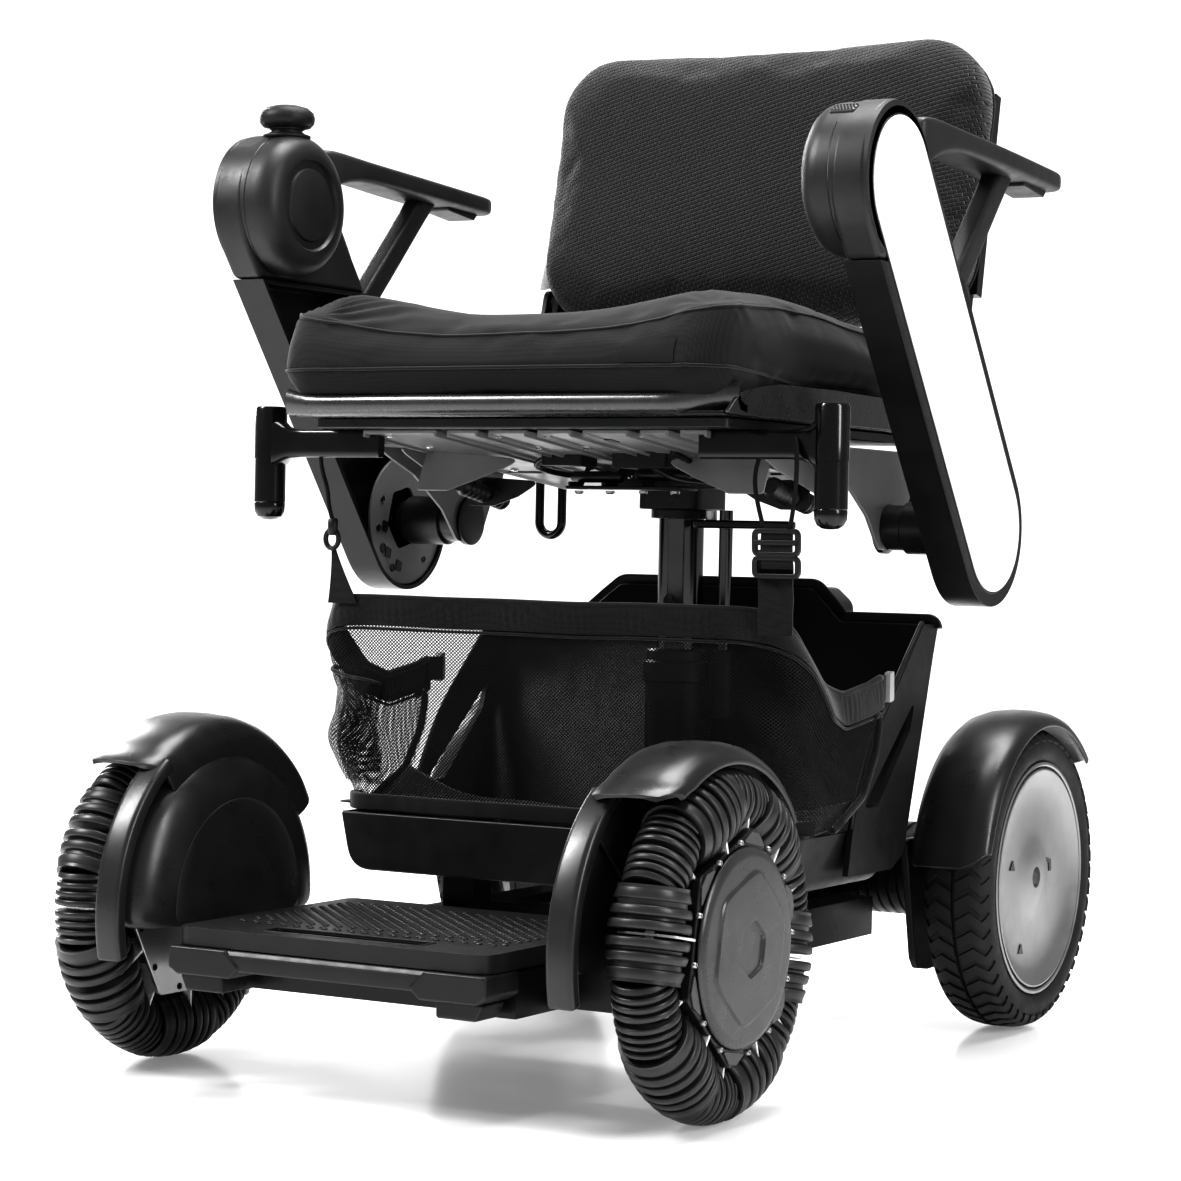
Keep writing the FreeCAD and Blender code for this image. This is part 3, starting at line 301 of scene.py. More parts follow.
def sweep(path, section, ring=False, up=None):
    """Carry a closed (across, up) section along a path; up fixes which way the section stands."""
    path = [Vector(point) for point in path]
    loops = []
    sides = frames_along(path, ring)
    for index, point in enumerate(path):
        across, over = sides[index]
        if up is not None:
            before = path[index - 1] if (ring or index) else path[0]
            after = path[(index + 1) % len(path)] if (ring or index < len(path) - 1) else path[-1]
            tangent = (after - before).normalized()
            across = tangent.cross(Vector(up)).normalized()
            over = across.cross(tangent).normalized()
        loops.append([point + across * a + over * b for a, b in section])
    return loft(loops, ring=ring)


def tilt(degrees, pivot):
    """Turn about a line along X through a point."""
    pivot = Vector(pivot)
    return (Matrix.Translation(pivot) @ Matrix.Rotation(math.radians(degrees), 4, "X")
            @ Matrix.Translation(-pivot))


def circle(radius, steps=16):
    return [(radius * math.cos(2 * math.pi * i / steps), radius * math.sin(2 * math.pi * i / steps))
            for i in range(steps)]


def tube(points, radius, steps):
    return sweep(smooth_path(points), circle(radius, steps))


def capsule_outline(foot, top, radius, steps):
    """(y, z) outline of a slab with two round ends."""
    foot, top = Vector(foot), Vector(top)
    along = (top - foot).normalized()
    start = math.atan2(along.y, along.x)
    result = []
    for centre, first in ((top, start - math.pi / 2), (foot, start + math.pi / 2)):
        for step in range(steps + 1):
            turn = first + math.pi * step / steps
            result.append((centre.x + radius * math.cos(turn), centre.y + radius * math.sin(turn)))
    return result


def bolt(centre, radius, height, side):
    """Round-headed screw with a hexagon socket ring, on an x axis."""
    profile = [(0, radius), (height * 0.6, radius), (height, radius * 0.75), (height, radius * 0.5),
               (height * 0.5, radius * 0.45)]
    return lathe(profile, centre, side, 18, "x")


# ---------------------------------------------------------------- materials

MATERIALS = {}


def new_material(name):
    material = bpy.data.materials.new(name)
    MATERIALS[name] = material
    material.use_nodes = True
    nodes = material.node_tree.nodes
    return material, nodes, material.node_tree.links, nodes["Principled BSDF"]


def coordinates(nodes, links, scale=(1, 1, 1), turn=(0, 0, 0)):
    """Object coordinates in metres, scaled and turned."""
    source = nodes.new("ShaderNodeTexCoord")
    mapping = nodes.new("ShaderNodeMapping")
    mapping.inputs["Scale"].default_value = scale
    mapping.inputs["Rotation"].default_value = [math.radians(angle) for angle in turn]
    links.new(source.outputs["Object"], mapping.inputs["Vector"])
    return mapping.outputs["Vector"]


def noise_at(nodes, links, vector, scale, detail=3, roughness=0.55):
    texture = nodes.new("ShaderNodeTexNoise")
    texture.inputs["Scale"].default_value = scale
    texture.inputs["Detail"].default_value = detail
    texture.inputs["Roughness"].default_value = roughness
    links.new(vector, texture.inputs["Vector"])
    return texture.outputs["Fac"]


def ramp(nodes, links, factor, low, high, start=0.3, end=0.7):
    """Blend two grey levels by a factor."""
    blender = nodes.new("ShaderNodeValToRGB")
    blender.color_ramp.elements[0].position = start
    blender.color_ramp.elements[1].position = end
    blender.color_ramp.elements[0].color = (low, low, low, 1)
    blender.color_ramp.elements[1].color = (high, high, high, 1)
    links.new(factor, blender.inputs["Fac"])
    return blender.outputs["Color"]


def bump(nodes, links, height, shader, strength, distance):
    """Raise the surface by a height pattern."""
    raiser = nodes.new("ShaderNodeBump")
    raiser.inputs["Strength"].default_value = strength
    raiser.inputs["Distance"].default_value = distance
    links.new(height, raiser.inputs["Height"])
    links.new(raiser.outputs["Normal"], shader.inputs["Normal"])


def combine(nodes, links, operation, first, second):
    maths = nodes.new("ShaderNodeMath")
    maths.operation = operation
    for socket, value in zip(maths.inputs, (first, second)):
        if isinstance(value, (int, float)):
            socket.default_value = value
        else:
            links.new(value, socket)
    return maths.outputs[0]


def moulded(name, level, roughness, grain=0.12, grain_scale=1800, metallic=0.0, coat=0.0, spread=0.25,
            specular=0.5):
    """Moulded plastic, paint or metal: tone that drifts a little, a fine grain, and uneven gloss."""
    material, nodes, links, shader = new_material(name)
    vector = coordinates(nodes, links)
    cloud = noise_at(nodes, links, vector, 14, 4)
    tone = ramp(nodes, links, cloud, level * (1 - spread), min(level * (1 + spread), 1))
    links.new(tone, shader.inputs["Base Color"])
    smudge = noise_at(nodes, links, vector, 55, 5, 0.65)
    links.new(ramp(nodes, links, smudge, roughness * 0.82, min(roughness * 1.2, 1)),
              shader.inputs["Roughness"])
    shader.inputs["Metallic"].default_value = metallic
    shader.inputs["Coat Weight"].default_value = coat
    shader.inputs["Coat Roughness"].default_value = 0.12
    shader.inputs["Specular IOR Level"].default_value = specular
    if grain:
        bump(nodes, links, noise_at(nodes, links, vector, grain_scale, 2), shader, grain, 0.0002)
    return material


def cloth_finish(nodes, links, shader, pattern, drift, levels):
    """Multiply threads by a slow drift in tone; levels are roughness, sheen, its roughness and gloss."""
    mixer = nodes.new("ShaderNodeMixRGB")
    mixer.blend_type = "MULTIPLY"
    mixer.inputs["Fac"].default_value = 1
    links.new(pattern, mixer.inputs["Color1"])
    links.new(drift, mixer.inputs["Color2"])
    links.new(mixer.outputs["Color"], shader.inputs["Base Color"])
    names = ("Roughness", "Sheen Weight", "Sheen Roughness", "Specular IOR Level")
    for name, level in zip(names, levels):
        shader.inputs[name].default_value = level


def woven(name, level, pitch, turn=(0, 0, 0), stretch=(1, 1, 1), depth=0.5, sheen=0.3, contrast=0.55):
    """Cloth whose threads stand on a regular grid, with a slow drift in tone and fuzz in the bump."""
    material, nodes, links, shader = new_material(name)
    vector = coordinates(nodes, links, stretch, turn)
    cells = nodes.new("ShaderNodeTexVoronoi")
    cells.inputs["Scale"].default_value = 1 / (pitch * MM)
    cells.inputs["Randomness"].default_value = 0.06
    links.new(vector, cells.inputs["Vector"])
    fuzz = noise_at(nodes, links, vector, 900, 3)
    broad = noise_at(nodes, links, vector, 9, 4)
    height = combine(nodes, links, "ADD", cells.outputs["Distance"],
                     combine(nodes, links, "MULTIPLY", fuzz, 0.25))
    thread = ramp(nodes, links, cells.outputs["Distance"], level * (1 + contrast), level * (1 - contrast),
                  0.1, 0.75)
    drift = ramp(nodes, links, broad, 0.82, 1.0)
    cloth_finish(nodes, links, shader, thread, drift, (0.9, sheen, 0.45, 0.25))
    bump(nodes, links, height, shader, depth, -pitch * MM * 0.4)
    return material


def knitted(name, level, pitch, lean):
    """Spacer knit: short slanted stitches in staggered rows, with dark gaps between them."""
    material, nodes, links, shader = new_material(name)
    vector = coordinates(nodes, links, (1, 0.0, 1), (0, lean, 0))
    bricks = nodes.new("ShaderNodeTexBrick")
    bricks.offset = 0.5
    bricks.inputs["Scale"].default_value = 1 / (pitch * MM)
    bricks.inputs["Mortar Size"].default_value = 0.16
    bricks.inputs["Mortar Smooth"].default_value = 0.9
    bricks.inputs["Bias"].default_value = -0.2
    bricks.inputs["Brick Width"].default_value = 1.5
    bricks.inputs["Row Height"].default_value = 0.85
    for socket, value in (("Color1", level * 1.25), ("Color2", level * 0.95), ("Mortar", level * 0.12)):
        bricks.inputs[socket].default_value = (value, value, value, 1)
    flat = nodes.new("ShaderNodeSeparateXYZ")
    joined = nodes.new("ShaderNodeCombineXYZ")
    links.new(vector, flat.inputs[0])
    links.new(flat.outputs["X"], joined.inputs["X"])
    links.new(flat.outputs["Z"], joined.inputs["Y"])
    links.new(joined.outputs[0], bricks.inputs["Vector"])
    broad = ramp(nodes, links, noise_at(nodes, links, coordinates(nodes, links), 7, 4), 0.75, 1.0)
    cloth_finish(nodes, links, shader, bricks.outputs["Color"], broad, (0.85, 0.25, 0.5, 0.2))
    bump(nodes, links, bricks.outputs["Fac"], shader, 0.8, -pitch * MM * 0.5)
    return material


def make_materials():
    """Every finish the chair uses; new_material keeps each under its name."""
    moulded("satin_black", 0.016, 0.36, 0.10, 2400, specular=0.32)
    moulded("frame_black", 0.008, 0.32, 0.08, 1500, specular=0.32, coat=0.05)
    moulded("gloss_black", 0.006, 0.20, 0.0, coat=0.3, specular=0.3)
    moulded("shell_black", 0.013, 0.40, 0.12, 2600, specular=0.30)
    moulded("fender_black", 0.018, 0.31, 0.10, 2600, specular=0.5)
    moulded("cap_grey", 0.048, 0.30, 0.05, 2600, specular=0.6, metallic=0.2)
    moulded("hub_black", 0.014, 0.32, 0.08, 2000, specular=0.4)
    moulded("arm_black", 0.009, 0.34, 0.08, 2600, specular=0.32)
    moulded("pan_black", 0.010, 0.24, 0.0, coat=0.3, specular=0.35)
    # Near-white and mostly diffuse: partly the brackets' light steel, partly a painted reflection of the
    # bright surroundings.
    moulded("bracket_plate", 0.82, 0.28, 0.04, 900, metallic=0.35, spread=0.04)
    # Lighter base than pan_black: a painted highlight on the seat pan's rolled lip and flanges, under real
    # coat gloss.
    moulded("pan_lip", 0.026, 0.28, 0.0, coat=0.4, specular=0.6)
    # Near-black finish with almost no gloss: painted shade inside the speed button's vent holes.
    moulded("hole_shade_black", 0.002, 0.8, 0.0, specular=0.05)
    moulded("clip_grey", 0.34, 0.4, 0.05, 900)
    moulded("net_strand", 0.012, 0.75, 0.2, 3000, specular=0.2)
    moulded("cord_cloth", 0.012, 0.8, 0.35, 1500, specular=0.2)
    moulded("deck_plastic", 0.016, 0.42, 0.16, 2200, specular=0.34)
    moulded("control_black", 0.019, 0.44, 0.14, 2600, specular=0.40)
    moulded("white_panel", 0.90, 0.16, 0.0, coat=0.4, spread=0.012)
    moulded("roller_rubber", 0.020, 0.40, 0.14, 1600, spread=0.35, specular=0.55)
    moulded("tyre_rubber", 0.018, 0.58, 0.22, 1400, spread=0.35, specular=0.3)
    moulded("knob_rubber", 0.014, 0.50, 0.18, 2200, specular=0.3)
    moulded("satin_silver", 0.30, 0.34, 0.02, 900, metallic=0.8, spread=0.03)
    moulded("cast_alloy", 0.60, 0.36, 0.10, 700, metallic=1.0, spread=0.12)
    moulded("polished_black_steel", 0.16, 0.13, 0.0, metallic=1.0, spread=0.1)
    moulded("bright_steel", 0.80, 0.12, 0.0, metallic=1.0, spread=0.05)
    moulded("plate_grey", 0.20, 0.34, 0.04, 800, metallic=0.1, spread=0.12)
    woven("seat_cloth", 0.013, 1.5, stretch=(0.5, 0.8, 1.5), depth=0.22, contrast=0.4, sheen=0.15)
    knitted("back_mesh", 0.0135, 4.4, 16)
    woven("net_cloth", 0.014, 1.6, turn=(45, 0, 0), depth=0.4)
    woven("webbing", 0.014, 1.4, stretch=(1, 1, 0.5), depth=0.6)
    woven("webbing_soft", 0.012, 1.2, stretch=(1, 1, 0.6), depth=0.35)
    woven("seat_piping", 0.012, 0.9, depth=0.2)
    woven("blank_patch", 0.006, 0.6, depth=0.2, contrast=0.2)
    woven("label_cloth", 0.62, 0.5, depth=0.2, contrast=0.1)


make_materials()
NODE_MATERIALS = {
    "chassis_frame": "frame_black", "tub_shell": "shell_black", "controller_box": "cast_alloy",
    "footplate": "satin_black", "front_bumper": "satin_black", "wheel_covers": "fender_black",
    "post_socket": "frame_black", "basket": "net_cloth", "basket_straps": "webbing",
    "battery_pack": "satin_black", "seat_post": "polished_black_steel", "seat_frame": "frame_black",
    "lift_loops": "gloss_black", "seat_pan": "gloss_black", "seat_cushion": "seat_cloth",
    "release_lever": "gloss_black", "back_cushion": "back_mesh", "back_frame": "frame_black",
    "speed_button": "control_black", "joystick_gimbal": "satin_black", "joystick_boot": "knob_rubber",
    "joystick_knob": "knob_rubber", "front_hub": "cast_alloy", "front_cap": "cap_grey",
                  "corner_rollers": "roller_rubber",
    "roller_pair": "roller_rubber", "front_fender": "fender_black", "rear_fender": "fender_black",
    "drive_motor": "cast_alloy", "rear_tyre": "tyre_rubber", "rear_rim": "satin_silver",
                  "front_grip": "gloss_black",
    "arm_shell": "shell_black", "arm_panel": "white_panel", "control_pod": "control_black",
    "armrest": "control_black",
}


def dress_frame():
    """Give every CAD node its finish."""
    for name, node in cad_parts.items():
        base = next(key for key in sorted(NODE_MATERIALS, key=len, reverse=True) if name.startswith(key))
        node.data.materials.clear()
        node.data.materials.append(MATERIALS[NODE_MATERIALS[base]])
        node.data.shade_smooth()
        node.data.set_sharp_from_angle(angle=math.radians(30))


# ---------------------------------------------------------------- camera, light and floor

def make_camera():
    """Low three-quarter view from the front left of the chair."""
    camera = bpy.data.cameras.new("camera")
    view = bpy.data.objects.new("camera", camera)
    bpy.context.scene.collection.objects.link(view)
    yaw, pitch, roll = CAMERA_TURN
    forward = Vector((-math.sin(yaw) * math.cos(pitch), math.cos(yaw) * math.cos(pitch), math.sin(pitch)))
    right = Vector((math.cos(yaw), math.sin(yaw), 0))
    up = right.cross(forward)
    image_right = right * math.cos(roll) + up * math.sin(roll)
    image_up = up * math.cos(roll) - right * math.sin(roll)
    turn = Matrix((image_right, image_up, -forward)).transposed().to_4x4()
    x, behind_axle, z = CAMERA_PLACE
    place = Vector((x, FRONT_AXLE.y * MM + behind_axle, z))
    view.matrix_world = Matrix.Translation(place) @ turn
    camera.sensor_width = 36
    camera.lens = 93.13
    camera.shift_x = 0.0061
    camera.shift_y = -0.0041
    camera.clip_start = 0.05
    camera.clip_end = 60
    bpy.context.scene.camera = view


def area_light(name, place, target, size, power):
    light = bpy.data.lights.new(name, "AREA")
    light.shape = "RECTANGLE"
    light.size, light.size_y = size
    light.energy = power
    lamp = bpy.data.objects.new(name, light)
    lamp.location = place
    lamp.rotation_euler = (Vector(target) - Vector(place)).to_track_quat("-Z", "Y").to_euler()
    bpy.context.scene.collection.objects.link(lamp)


def make_world():
    """White ahead of the camera, dimmer all round, so that dark surfaces stay dark."""
    world = bpy.data.worlds.new("studio")
    world.use_nodes = True
    nodes, links = world.node_tree.nodes, world.node_tree.links
    source = nodes.new("ShaderNodeTexCoord")
    facing = nodes.new("ShaderNodeVectorMath")
    facing.operation = "DOT_PRODUCT"
    facing.inputs[1].default_value = (-0.4963, 0.8681, 0)
    links.new(source.outputs["Generated"], facing.inputs[0])
    level = ramp(nodes, links, facing.outputs["Value"], WORLD_DIM, 1.0, 0.80, 0.93)
    links.new(level, nodes["Background"].inputs["Color"])
    nodes["Background"].inputs["Strength"].default_value = 1.0
    bpy.context.scene.world = world


def make_stage():
    """Plain white floor and background with soft studio lamps."""
    mesh = bpy.data.meshes.new("floor")
    reach = 14
    mesh.from_pydata([(-reach, -reach, 0), (reach, -reach, 0), (reach, reach, 0), (-reach, reach, 0)],
                     [], [(0, 1, 2, 3)])
    floor = bpy.data.objects.new("floor", mesh)
    bpy.context.scene.collection.objects.link(floor)
    material, nodes, links, shader = new_material("floor_paint")
    shader.inputs["Base Color"].default_value = (0.93, 0.93, 0.93, 1)
    vector = coordinates(nodes, links)
    ripple = noise_at(nodes, links, vector, 3, 3)
    links.new(ramp(nodes, links, ripple, 0.10, 0.20), shader.inputs["Roughness"])
    shader.inputs["Emission Color"].default_value = (1, 1, 1, 1)
    shader.inputs["Emission Strength"].default_value = 0.16
    bump(nodes, links, noise_at(nodes, links, vector, 5, 3), shader, 0.05, 0.006)
    mesh.materials.append(material)
    make_world()
    area_light("key", (-1.9, -1.7, 2.5), (0, -0.1, 0.4), (0.7, 1.2), 85)
    area_light("side", (2.7, -0.7, 1.7), (0, 0, 0.4), (0.5, 1.9), 45)
    area_light("rim", (-2.4, 1.2, 1.6), (0, 0, 0.4), (0.5, 1.6), 40)
    area_light("top", (0.1, 0.4, 2.9), (0, 0, 0.3), (1.6, 1.6), 90)
    bpy.context.scene.view_settings.view_transform = "Standard"
    bpy.context.scene.view_settings.look = "High Contrast"


# ---------------------------------------------------------------- front wheels

def wheel_matrix(angle, distance, side):
    """Local +X along a roller shaft, local +Y outward from the axle of one front wheel."""
    turn = math.radians(angle)
    along = Vector((0, -math.cos(turn), -math.sin(turn)))
    outward = Vector((0, -math.sin(turn), math.cos(turn)))
    across = along.cross(outward)
    turned = Matrix((along, outward, across)).transposed().to_4x4()
    centre = Vector((side * FRONT_WHEEL_X, *FRONT_CENTRE))
    return Matrix.Translation(centre + outward * distance) @ turned


def ribbed(start, end, crown, distance, ribs, groove, round_off=1.5):
    """Outer half profile of one roller: rounded ribs that follow the wheel's tread."""
    def height(length):
        return min(math.sqrt(TREAD ** 2 - length ** 2) - distance, crown)
    profile = []
    for first, last in ribs:
        low, high = height(first), height(last)
        profile += [(first - 0.7, low - groove), (first, low - groove * 0.55), (first, low - round_off),
                    (first + round_off * 0.35, low - round_off * 0.35), (first + round_off, low),
                    (last - round_off, high), (last - round_off * 0.35, high - round_off * 0.35),
                    (last, high - round_off), (last, high - groove * 0.55), (last + 0.7, high - groove)]
    return [(min(max(along, start), end), radius) for along, radius in profile]


def roller_shape(big):
    if big:
        profile = ribbed(2.8, 34, 30, BIG_SHAFT_AT, ((2.8, 9.6), (12.8, 19.8), (23.6, 34)), 4.6)
        profile += [(34, 26), (19, 25), (17, 8), (2.8, 6)]
        steps = 56
    else:
        ribs = ((2.2, 7.0), (9.4, 13.8), (16.2, 20.4), (22.8, 27.5))
        profile = ribbed(2.2, 27.5, 24, SMALL_SHAFT_AT, ribs, 3.8, 1.2)
        profile += [(27.5, 12), (26.5, 6), (2.2, 6)]
        steps = 44
    shape = lathe(profile, (0, 0, 0), 1, steps, closed=True)
    return shape.join(lathe(profile, (0, 0, 0), -1, steps, closed=True))


def on_circle(centre, radius, degrees):
    """(y, z) on a circle; the angle starts straight up and grows towards the chair's front."""
    turn = math.radians(degrees)
    return centre[0] - radius * math.sin(turn), centre[1] + radius * math.cos(turn)


def hub_ring(name, radius):
    """Points on a front wheel's face at the hexagon's corners, as (y, z)."""
    return [on_circle(FRONT_CENTRE, radius, FIRST_FLAT[name] + 30 + 60 * index) for index in range(6)]


def hexagonal(name, y, z):
    """Distance from a wheel's centre measured as on a hexagon with soft corners."""
    power = 14
    total = 0
    for index in range(3):
        turn = math.radians(FIRST_FLAT[name] + 60 * index)
        total += abs(-math.sin(turn) * y + math.cos(turn) * z) ** power
    return total ** (1 / power)


def eased(value, start, end):
    t = min(max((value - start) / (end - start), 0), 1)
    return t * t * (3 - 2 * t)


def cap_shape(name, side):
    """Domed cap with a raised hexagonal field and a small sunk hexagon at its middle."""
    shape = Shape()
    rings = [0.5 * index for index in range(1, 124)] + [62 + 0.75 * index for index in range(1, 17)]
    steps = 144
    def level(y, z):
        radius = math.hypot(y, z)
        rim = math.sqrt(max(0, 1 - (max(radius - 66, 0) / 8.2) ** 2))
        height = (7.0 - 1.8 * (radius / 74) ** 2) * rim
        across = hexagonal(name, y, z)
        height += 1.7 * (1 - eased(across, 50.2, 52.0))
        height -= 2.2 * (1 - eased(across, 17.8, 19.2))
        return height
    points = [(side * (271.2 + level(0, 0)), DESIGN_FRONT_AXLE_Y, FRONT_AXLE.z)]
    rings = [ring for ring in rings if ring <= 74]
    for ring in rings:
        for step in range(steps):
            turn = 2 * math.pi * step / steps
            y, z = ring * math.cos(turn), ring * math.sin(turn)
            points.append((side * (271.2 + level(y, z)), DESIGN_FRONT_AXLE_Y + y, FRONT_AXLE.z + z))
    faces = [(0, 1 + step, 1 + (step + 1) % steps) for step in range(steps)]
    for k in range(len(rings) - 1):
        for step in range(steps):
            following = (step + 1) % steps
            a = 1 + k * steps
            b = a + steps
            faces.append((a + step, b + step, b + following, a + following))
    last = 1 + (len(rings) - 1) * steps
    faces.append([last + step for step in range(steps)])
    return shape.add(points, faces)


def make_rollers(name, side, body):
    """Six big roller pairs that turn, six small ones at the corners, and what carries them."""
    big, small = roller_shape(True), roller_shape(False)
    corners, brackets, shafts, bolts = Shape(), Shape(), Shape(), Shape()
    for index in range(6):
        angle = FIRST_FLAT[name] + 60 * index
        make(f"big_roller_{name}_{index + 1}", big.moved(wheel_matrix(angle, BIG_SHAFT_AT, side)),
             f"roller_{name}_{index + 1}", "roller_rubber",
             replaces=(f"roller_pair_{name}_{index + 1}",), sharp=50)
        corners.join(small.moved(wheel_matrix(angle + 30, SMALL_SHAFT_AT, side)))
        for turn, distance, half in ((angle, BIG_SHAFT_AT, 24), (angle + 30, SMALL_SHAFT_AT, 19)):
            place = wheel_matrix(turn, distance, side)
            reach = 13 if distance == BIG_SHAFT_AT else 12
            tip = rounded([(-64, -half), (4, -half), (reach, -half * 0.5), (reach, half * 0.5), (4, half),
                           (-64, half)], 4)
            brackets.join(plate(tip, -1.1, 1.1).moved(place))
            shafts.join(lathe([(-24, 4), (24, 4)], (0, 0, 0), 1, 16).moved(place))
        for offset in (-17, 17):
            spot = (side * HUB_FACE_X, *on_circle(FRONT_CENTRE, 77.5, angle + 30 + offset))
            bolts.join(bolt(spot, 2.3, 3.0, side))
    make(f"corner_roller_set_{name}", corners, body, "roller_rubber",
         replaces=(f"corner_rollers_{name}",), sharp=50)
    # Bracket plates: bright steel plus a painted reflection in their near-white base.
    make(f"roller_brackets_{name}", brackets, body, "bracket_plate", bevel=0.4, segments=1)
    make(f"roller_shafts_{name}", shafts, body, "cast_alloy")
    make(f"hub_bolts_{name}", bolts, body, "cast_alloy")


def make_hub(name, side, body):
    """Two hexagonal plates on a core, with raised corners, small holes and a cap."""
    outer = plate(rounded(hub_ring(name, 88), 7), side * 263, side * HUB_FACE_X)
    core = lathe([(225, 36), (228, 60), (262, 62), (264, 74), (270.6, 76)],
                 (0, *FRONT_CENTRE), side, 72)
    make(f"hub_face_{name}", outer, body, "hub_black", bevel=1.6,
         replaces=(f"front_hub_{name}",))
    make(f"hub_core_{name}", core, body, "hub_black")
    tips = Shape()
    for index in range(6):
        turn = FIRST_FLAT[name] + 30 + 60 * index
        wedge = [on_circle(FRONT_CENTRE, radius, turn + lean)
                 for lean, radius in ((-13, 77), (-4, 84.5), (4, 84.5), (13, 77), (0, 75))]
        tips.join(plate(rounded(wedge, 1.5, 3), side * 270, side * 272.6))
    make(f"hub_tips_{name}", tips, body, "cap_grey", bevel=0.8)
    inner = plate(rounded(hub_ring(name, 86), 6), side * 221, side * 224.4)
    make(f"hub_inner_plate_{name}", inner, body, "cast_alloy", bevel=0.8)
    holes = Shape()
    for ring, count, size, shift in ((72, 12, 2.6, 15), (58, 6, 3.6, 0), (58, 6, 2.2, 17), (44, 6, 2.6, 8)):
        for index in range(count):
            turn = FIRST_FLAT[name] + 30 + 360 * index / count + shift
            spot = (side * 221.2, *on_circle(FRONT_CENTRE, ring, turn))
            holes.join(lathe([(0, size * 0.4), (0.7, size * 0.85), (0.9, size), (0.2, size * 1.1)], spot,
                             -side, 14))
    make(f"hub_holes_{name}", holes, body, "hub_black")
    make(f"hub_cap_{name}", cap_shape(name, side), body, "cap_grey",
         replaces=(f"front_cap_{name}",), sharp=180)


# ---------------------------------------------------------------- soft parts

def inflate(piece, voxel, pressure, cap):
    """Swell a closed shape like a filled cover; cap is how far that may move a point, in millimetres."""
    depsgraph = bpy.context.evaluated_depsgraph_get
    remesh = piece.modifiers.new("remesh", "REMESH")
    remesh.mode = "VOXEL"
    remesh.voxel_size = voxel * MM
    mesh = bpy.data.meshes.new_from_object(piece.evaluated_get(depsgraph()))
    piece.modifiers.clear()
    piece.data = mesh
    rest = [vertex.co.copy() for vertex in mesh.vertices]
    cloth = piece.modifiers.new("cloth", "CLOTH")
    settings = cloth.settings
    settings.quality = 6
    settings.mass = 0.25
    settings.tension_stiffness = settings.compression_stiffness = 22
    settings.shear_stiffness = 8
    settings.bending_stiffness = 0.6
    settings.use_pressure = True
    settings.uniform_pressure_force = pressure
    settings.effector_weights.gravity = 0
    cloth.point_cache.frame_start = 1
    cloth.point_cache.frame_end = 20
    for step in range(1, 21):
        bpy.context.scene.frame_set(step)
    swollen = piece.evaluated_get(depsgraph()).to_mesh()
    moved = [swollen.vertices[index].co - place for index, place in enumerate(rest)]
    drift = sum(moved, Vector()) / len(moved)
    piece.modifiers.clear()
    bpy.context.scene.frame_set(1)
    for vertex, place, move in zip(mesh.vertices, rest, moved):
        move = move - drift
        if move.length > cap * MM:
            move = move.normalized() * cap * MM
        vertex.co = place + move
    smooth = piece.modifiers.new("smooth", "SMOOTH")
    smooth.factor = 0.5
    smooth.iterations = 2
    fine = piece.modifiers.new("fine", "SUBSURF")
    fine.levels = fine.render_levels = 1
    mesh = bpy.data.meshes.new_from_object(piece.evaluated_get(depsgraph()))
    piece.modifiers.clear()
    piece.data = mesh
    mesh.shade_smooth()
    return piece


def make_front_wheel(name, side):
    body = f"front_wheel_{name}"
    make_rollers(name, side, body)
    make_hub(name, side, body)


def tree_of(piece):
    shape = bmesh.new()
    shape.from_mesh(piece.data)
    tree = BVHTree.FromBMesh(shape)
    shape.free()
    return tree


def to_row(point):
    return Vector((point[0] * MM, (point[1] + design_shift) * MM, point[2] * MM))


def to_design(point):
    return Vector((point.x / MM, point.y / MM - design_shift, point.z / MM))


def hugging(piece, points, lift):
    """Points moved to the nearest spot on a piece and lifted off it."""
    tree = tree_of(piece)
    result = []
    for point in points:
        place, normal, _, _ = tree.find_nearest(to_row(point))
        result.append(to_design(place + normal * lift * MM))
    return result


def push(piece, move):
    """Move a piece's points along their normals; move takes a design point and gives millimetres."""
    mesh = piece.data
    normals = [vertex.normal.copy() for vertex in mesh.vertices]
    for vertex, normal in zip(mesh.vertices, normals):
        vertex.co += normal * move(to_design(vertex.co)) * MM


def plan_ring(half_x, front, rear, corner_front, corner_rear):
    """Closed (x, y) outline of a rounded rectangle, always with the same number of points."""
    steps, straight = 10, 14
    points = []
    spans = [((half_x, front), corner_front, -90), ((half_x, rear), corner_rear, 0),
             ((-half_x, rear), corner_rear, 90), ((-half_x, front), corner_front, 180)]
    arcs = []
    for (x, y), radius, start in spans:
        centre = (x - math.copysign(radius, x), y + radius if y == front else y - radius)
        arcs.append([(centre[0] + radius * math.cos(math.radians(start + 90 * k / steps)),
                      centre[1] + radius * math.sin(math.radians(start + 90 * k / steps)))
                     for k in range(steps + 1)])
    for index, arc in enumerate(arcs):
        points += arc
        following = arcs[(index + 1) % 4][0]
        for k in range(1, straight):
            t = k / straight
            points.append((arc[-1][0] * (1 - t) + following[0] * t, arc[-1][1] * (1 - t) + following[1] * t))
    return points


def seat_top(x, y):
    """Height of the cushion's saddle."""
    side = (x / 200) ** 2
    front = 596 + 27 * side + (3 if x < 0 else 0) * side
    back = 590 + 12 * side
    return front + (back - front) * eased(y, -90, 170)


def seat_seam(x, y):
    """Height of the piping between the cushion's top and its wall."""
    side = (x / 200) ** 2
    front = 586 + 20 * side
    along = 4 * eased(y, -200, -90) - 9 * eased(y, -60, 150)
    return front + along


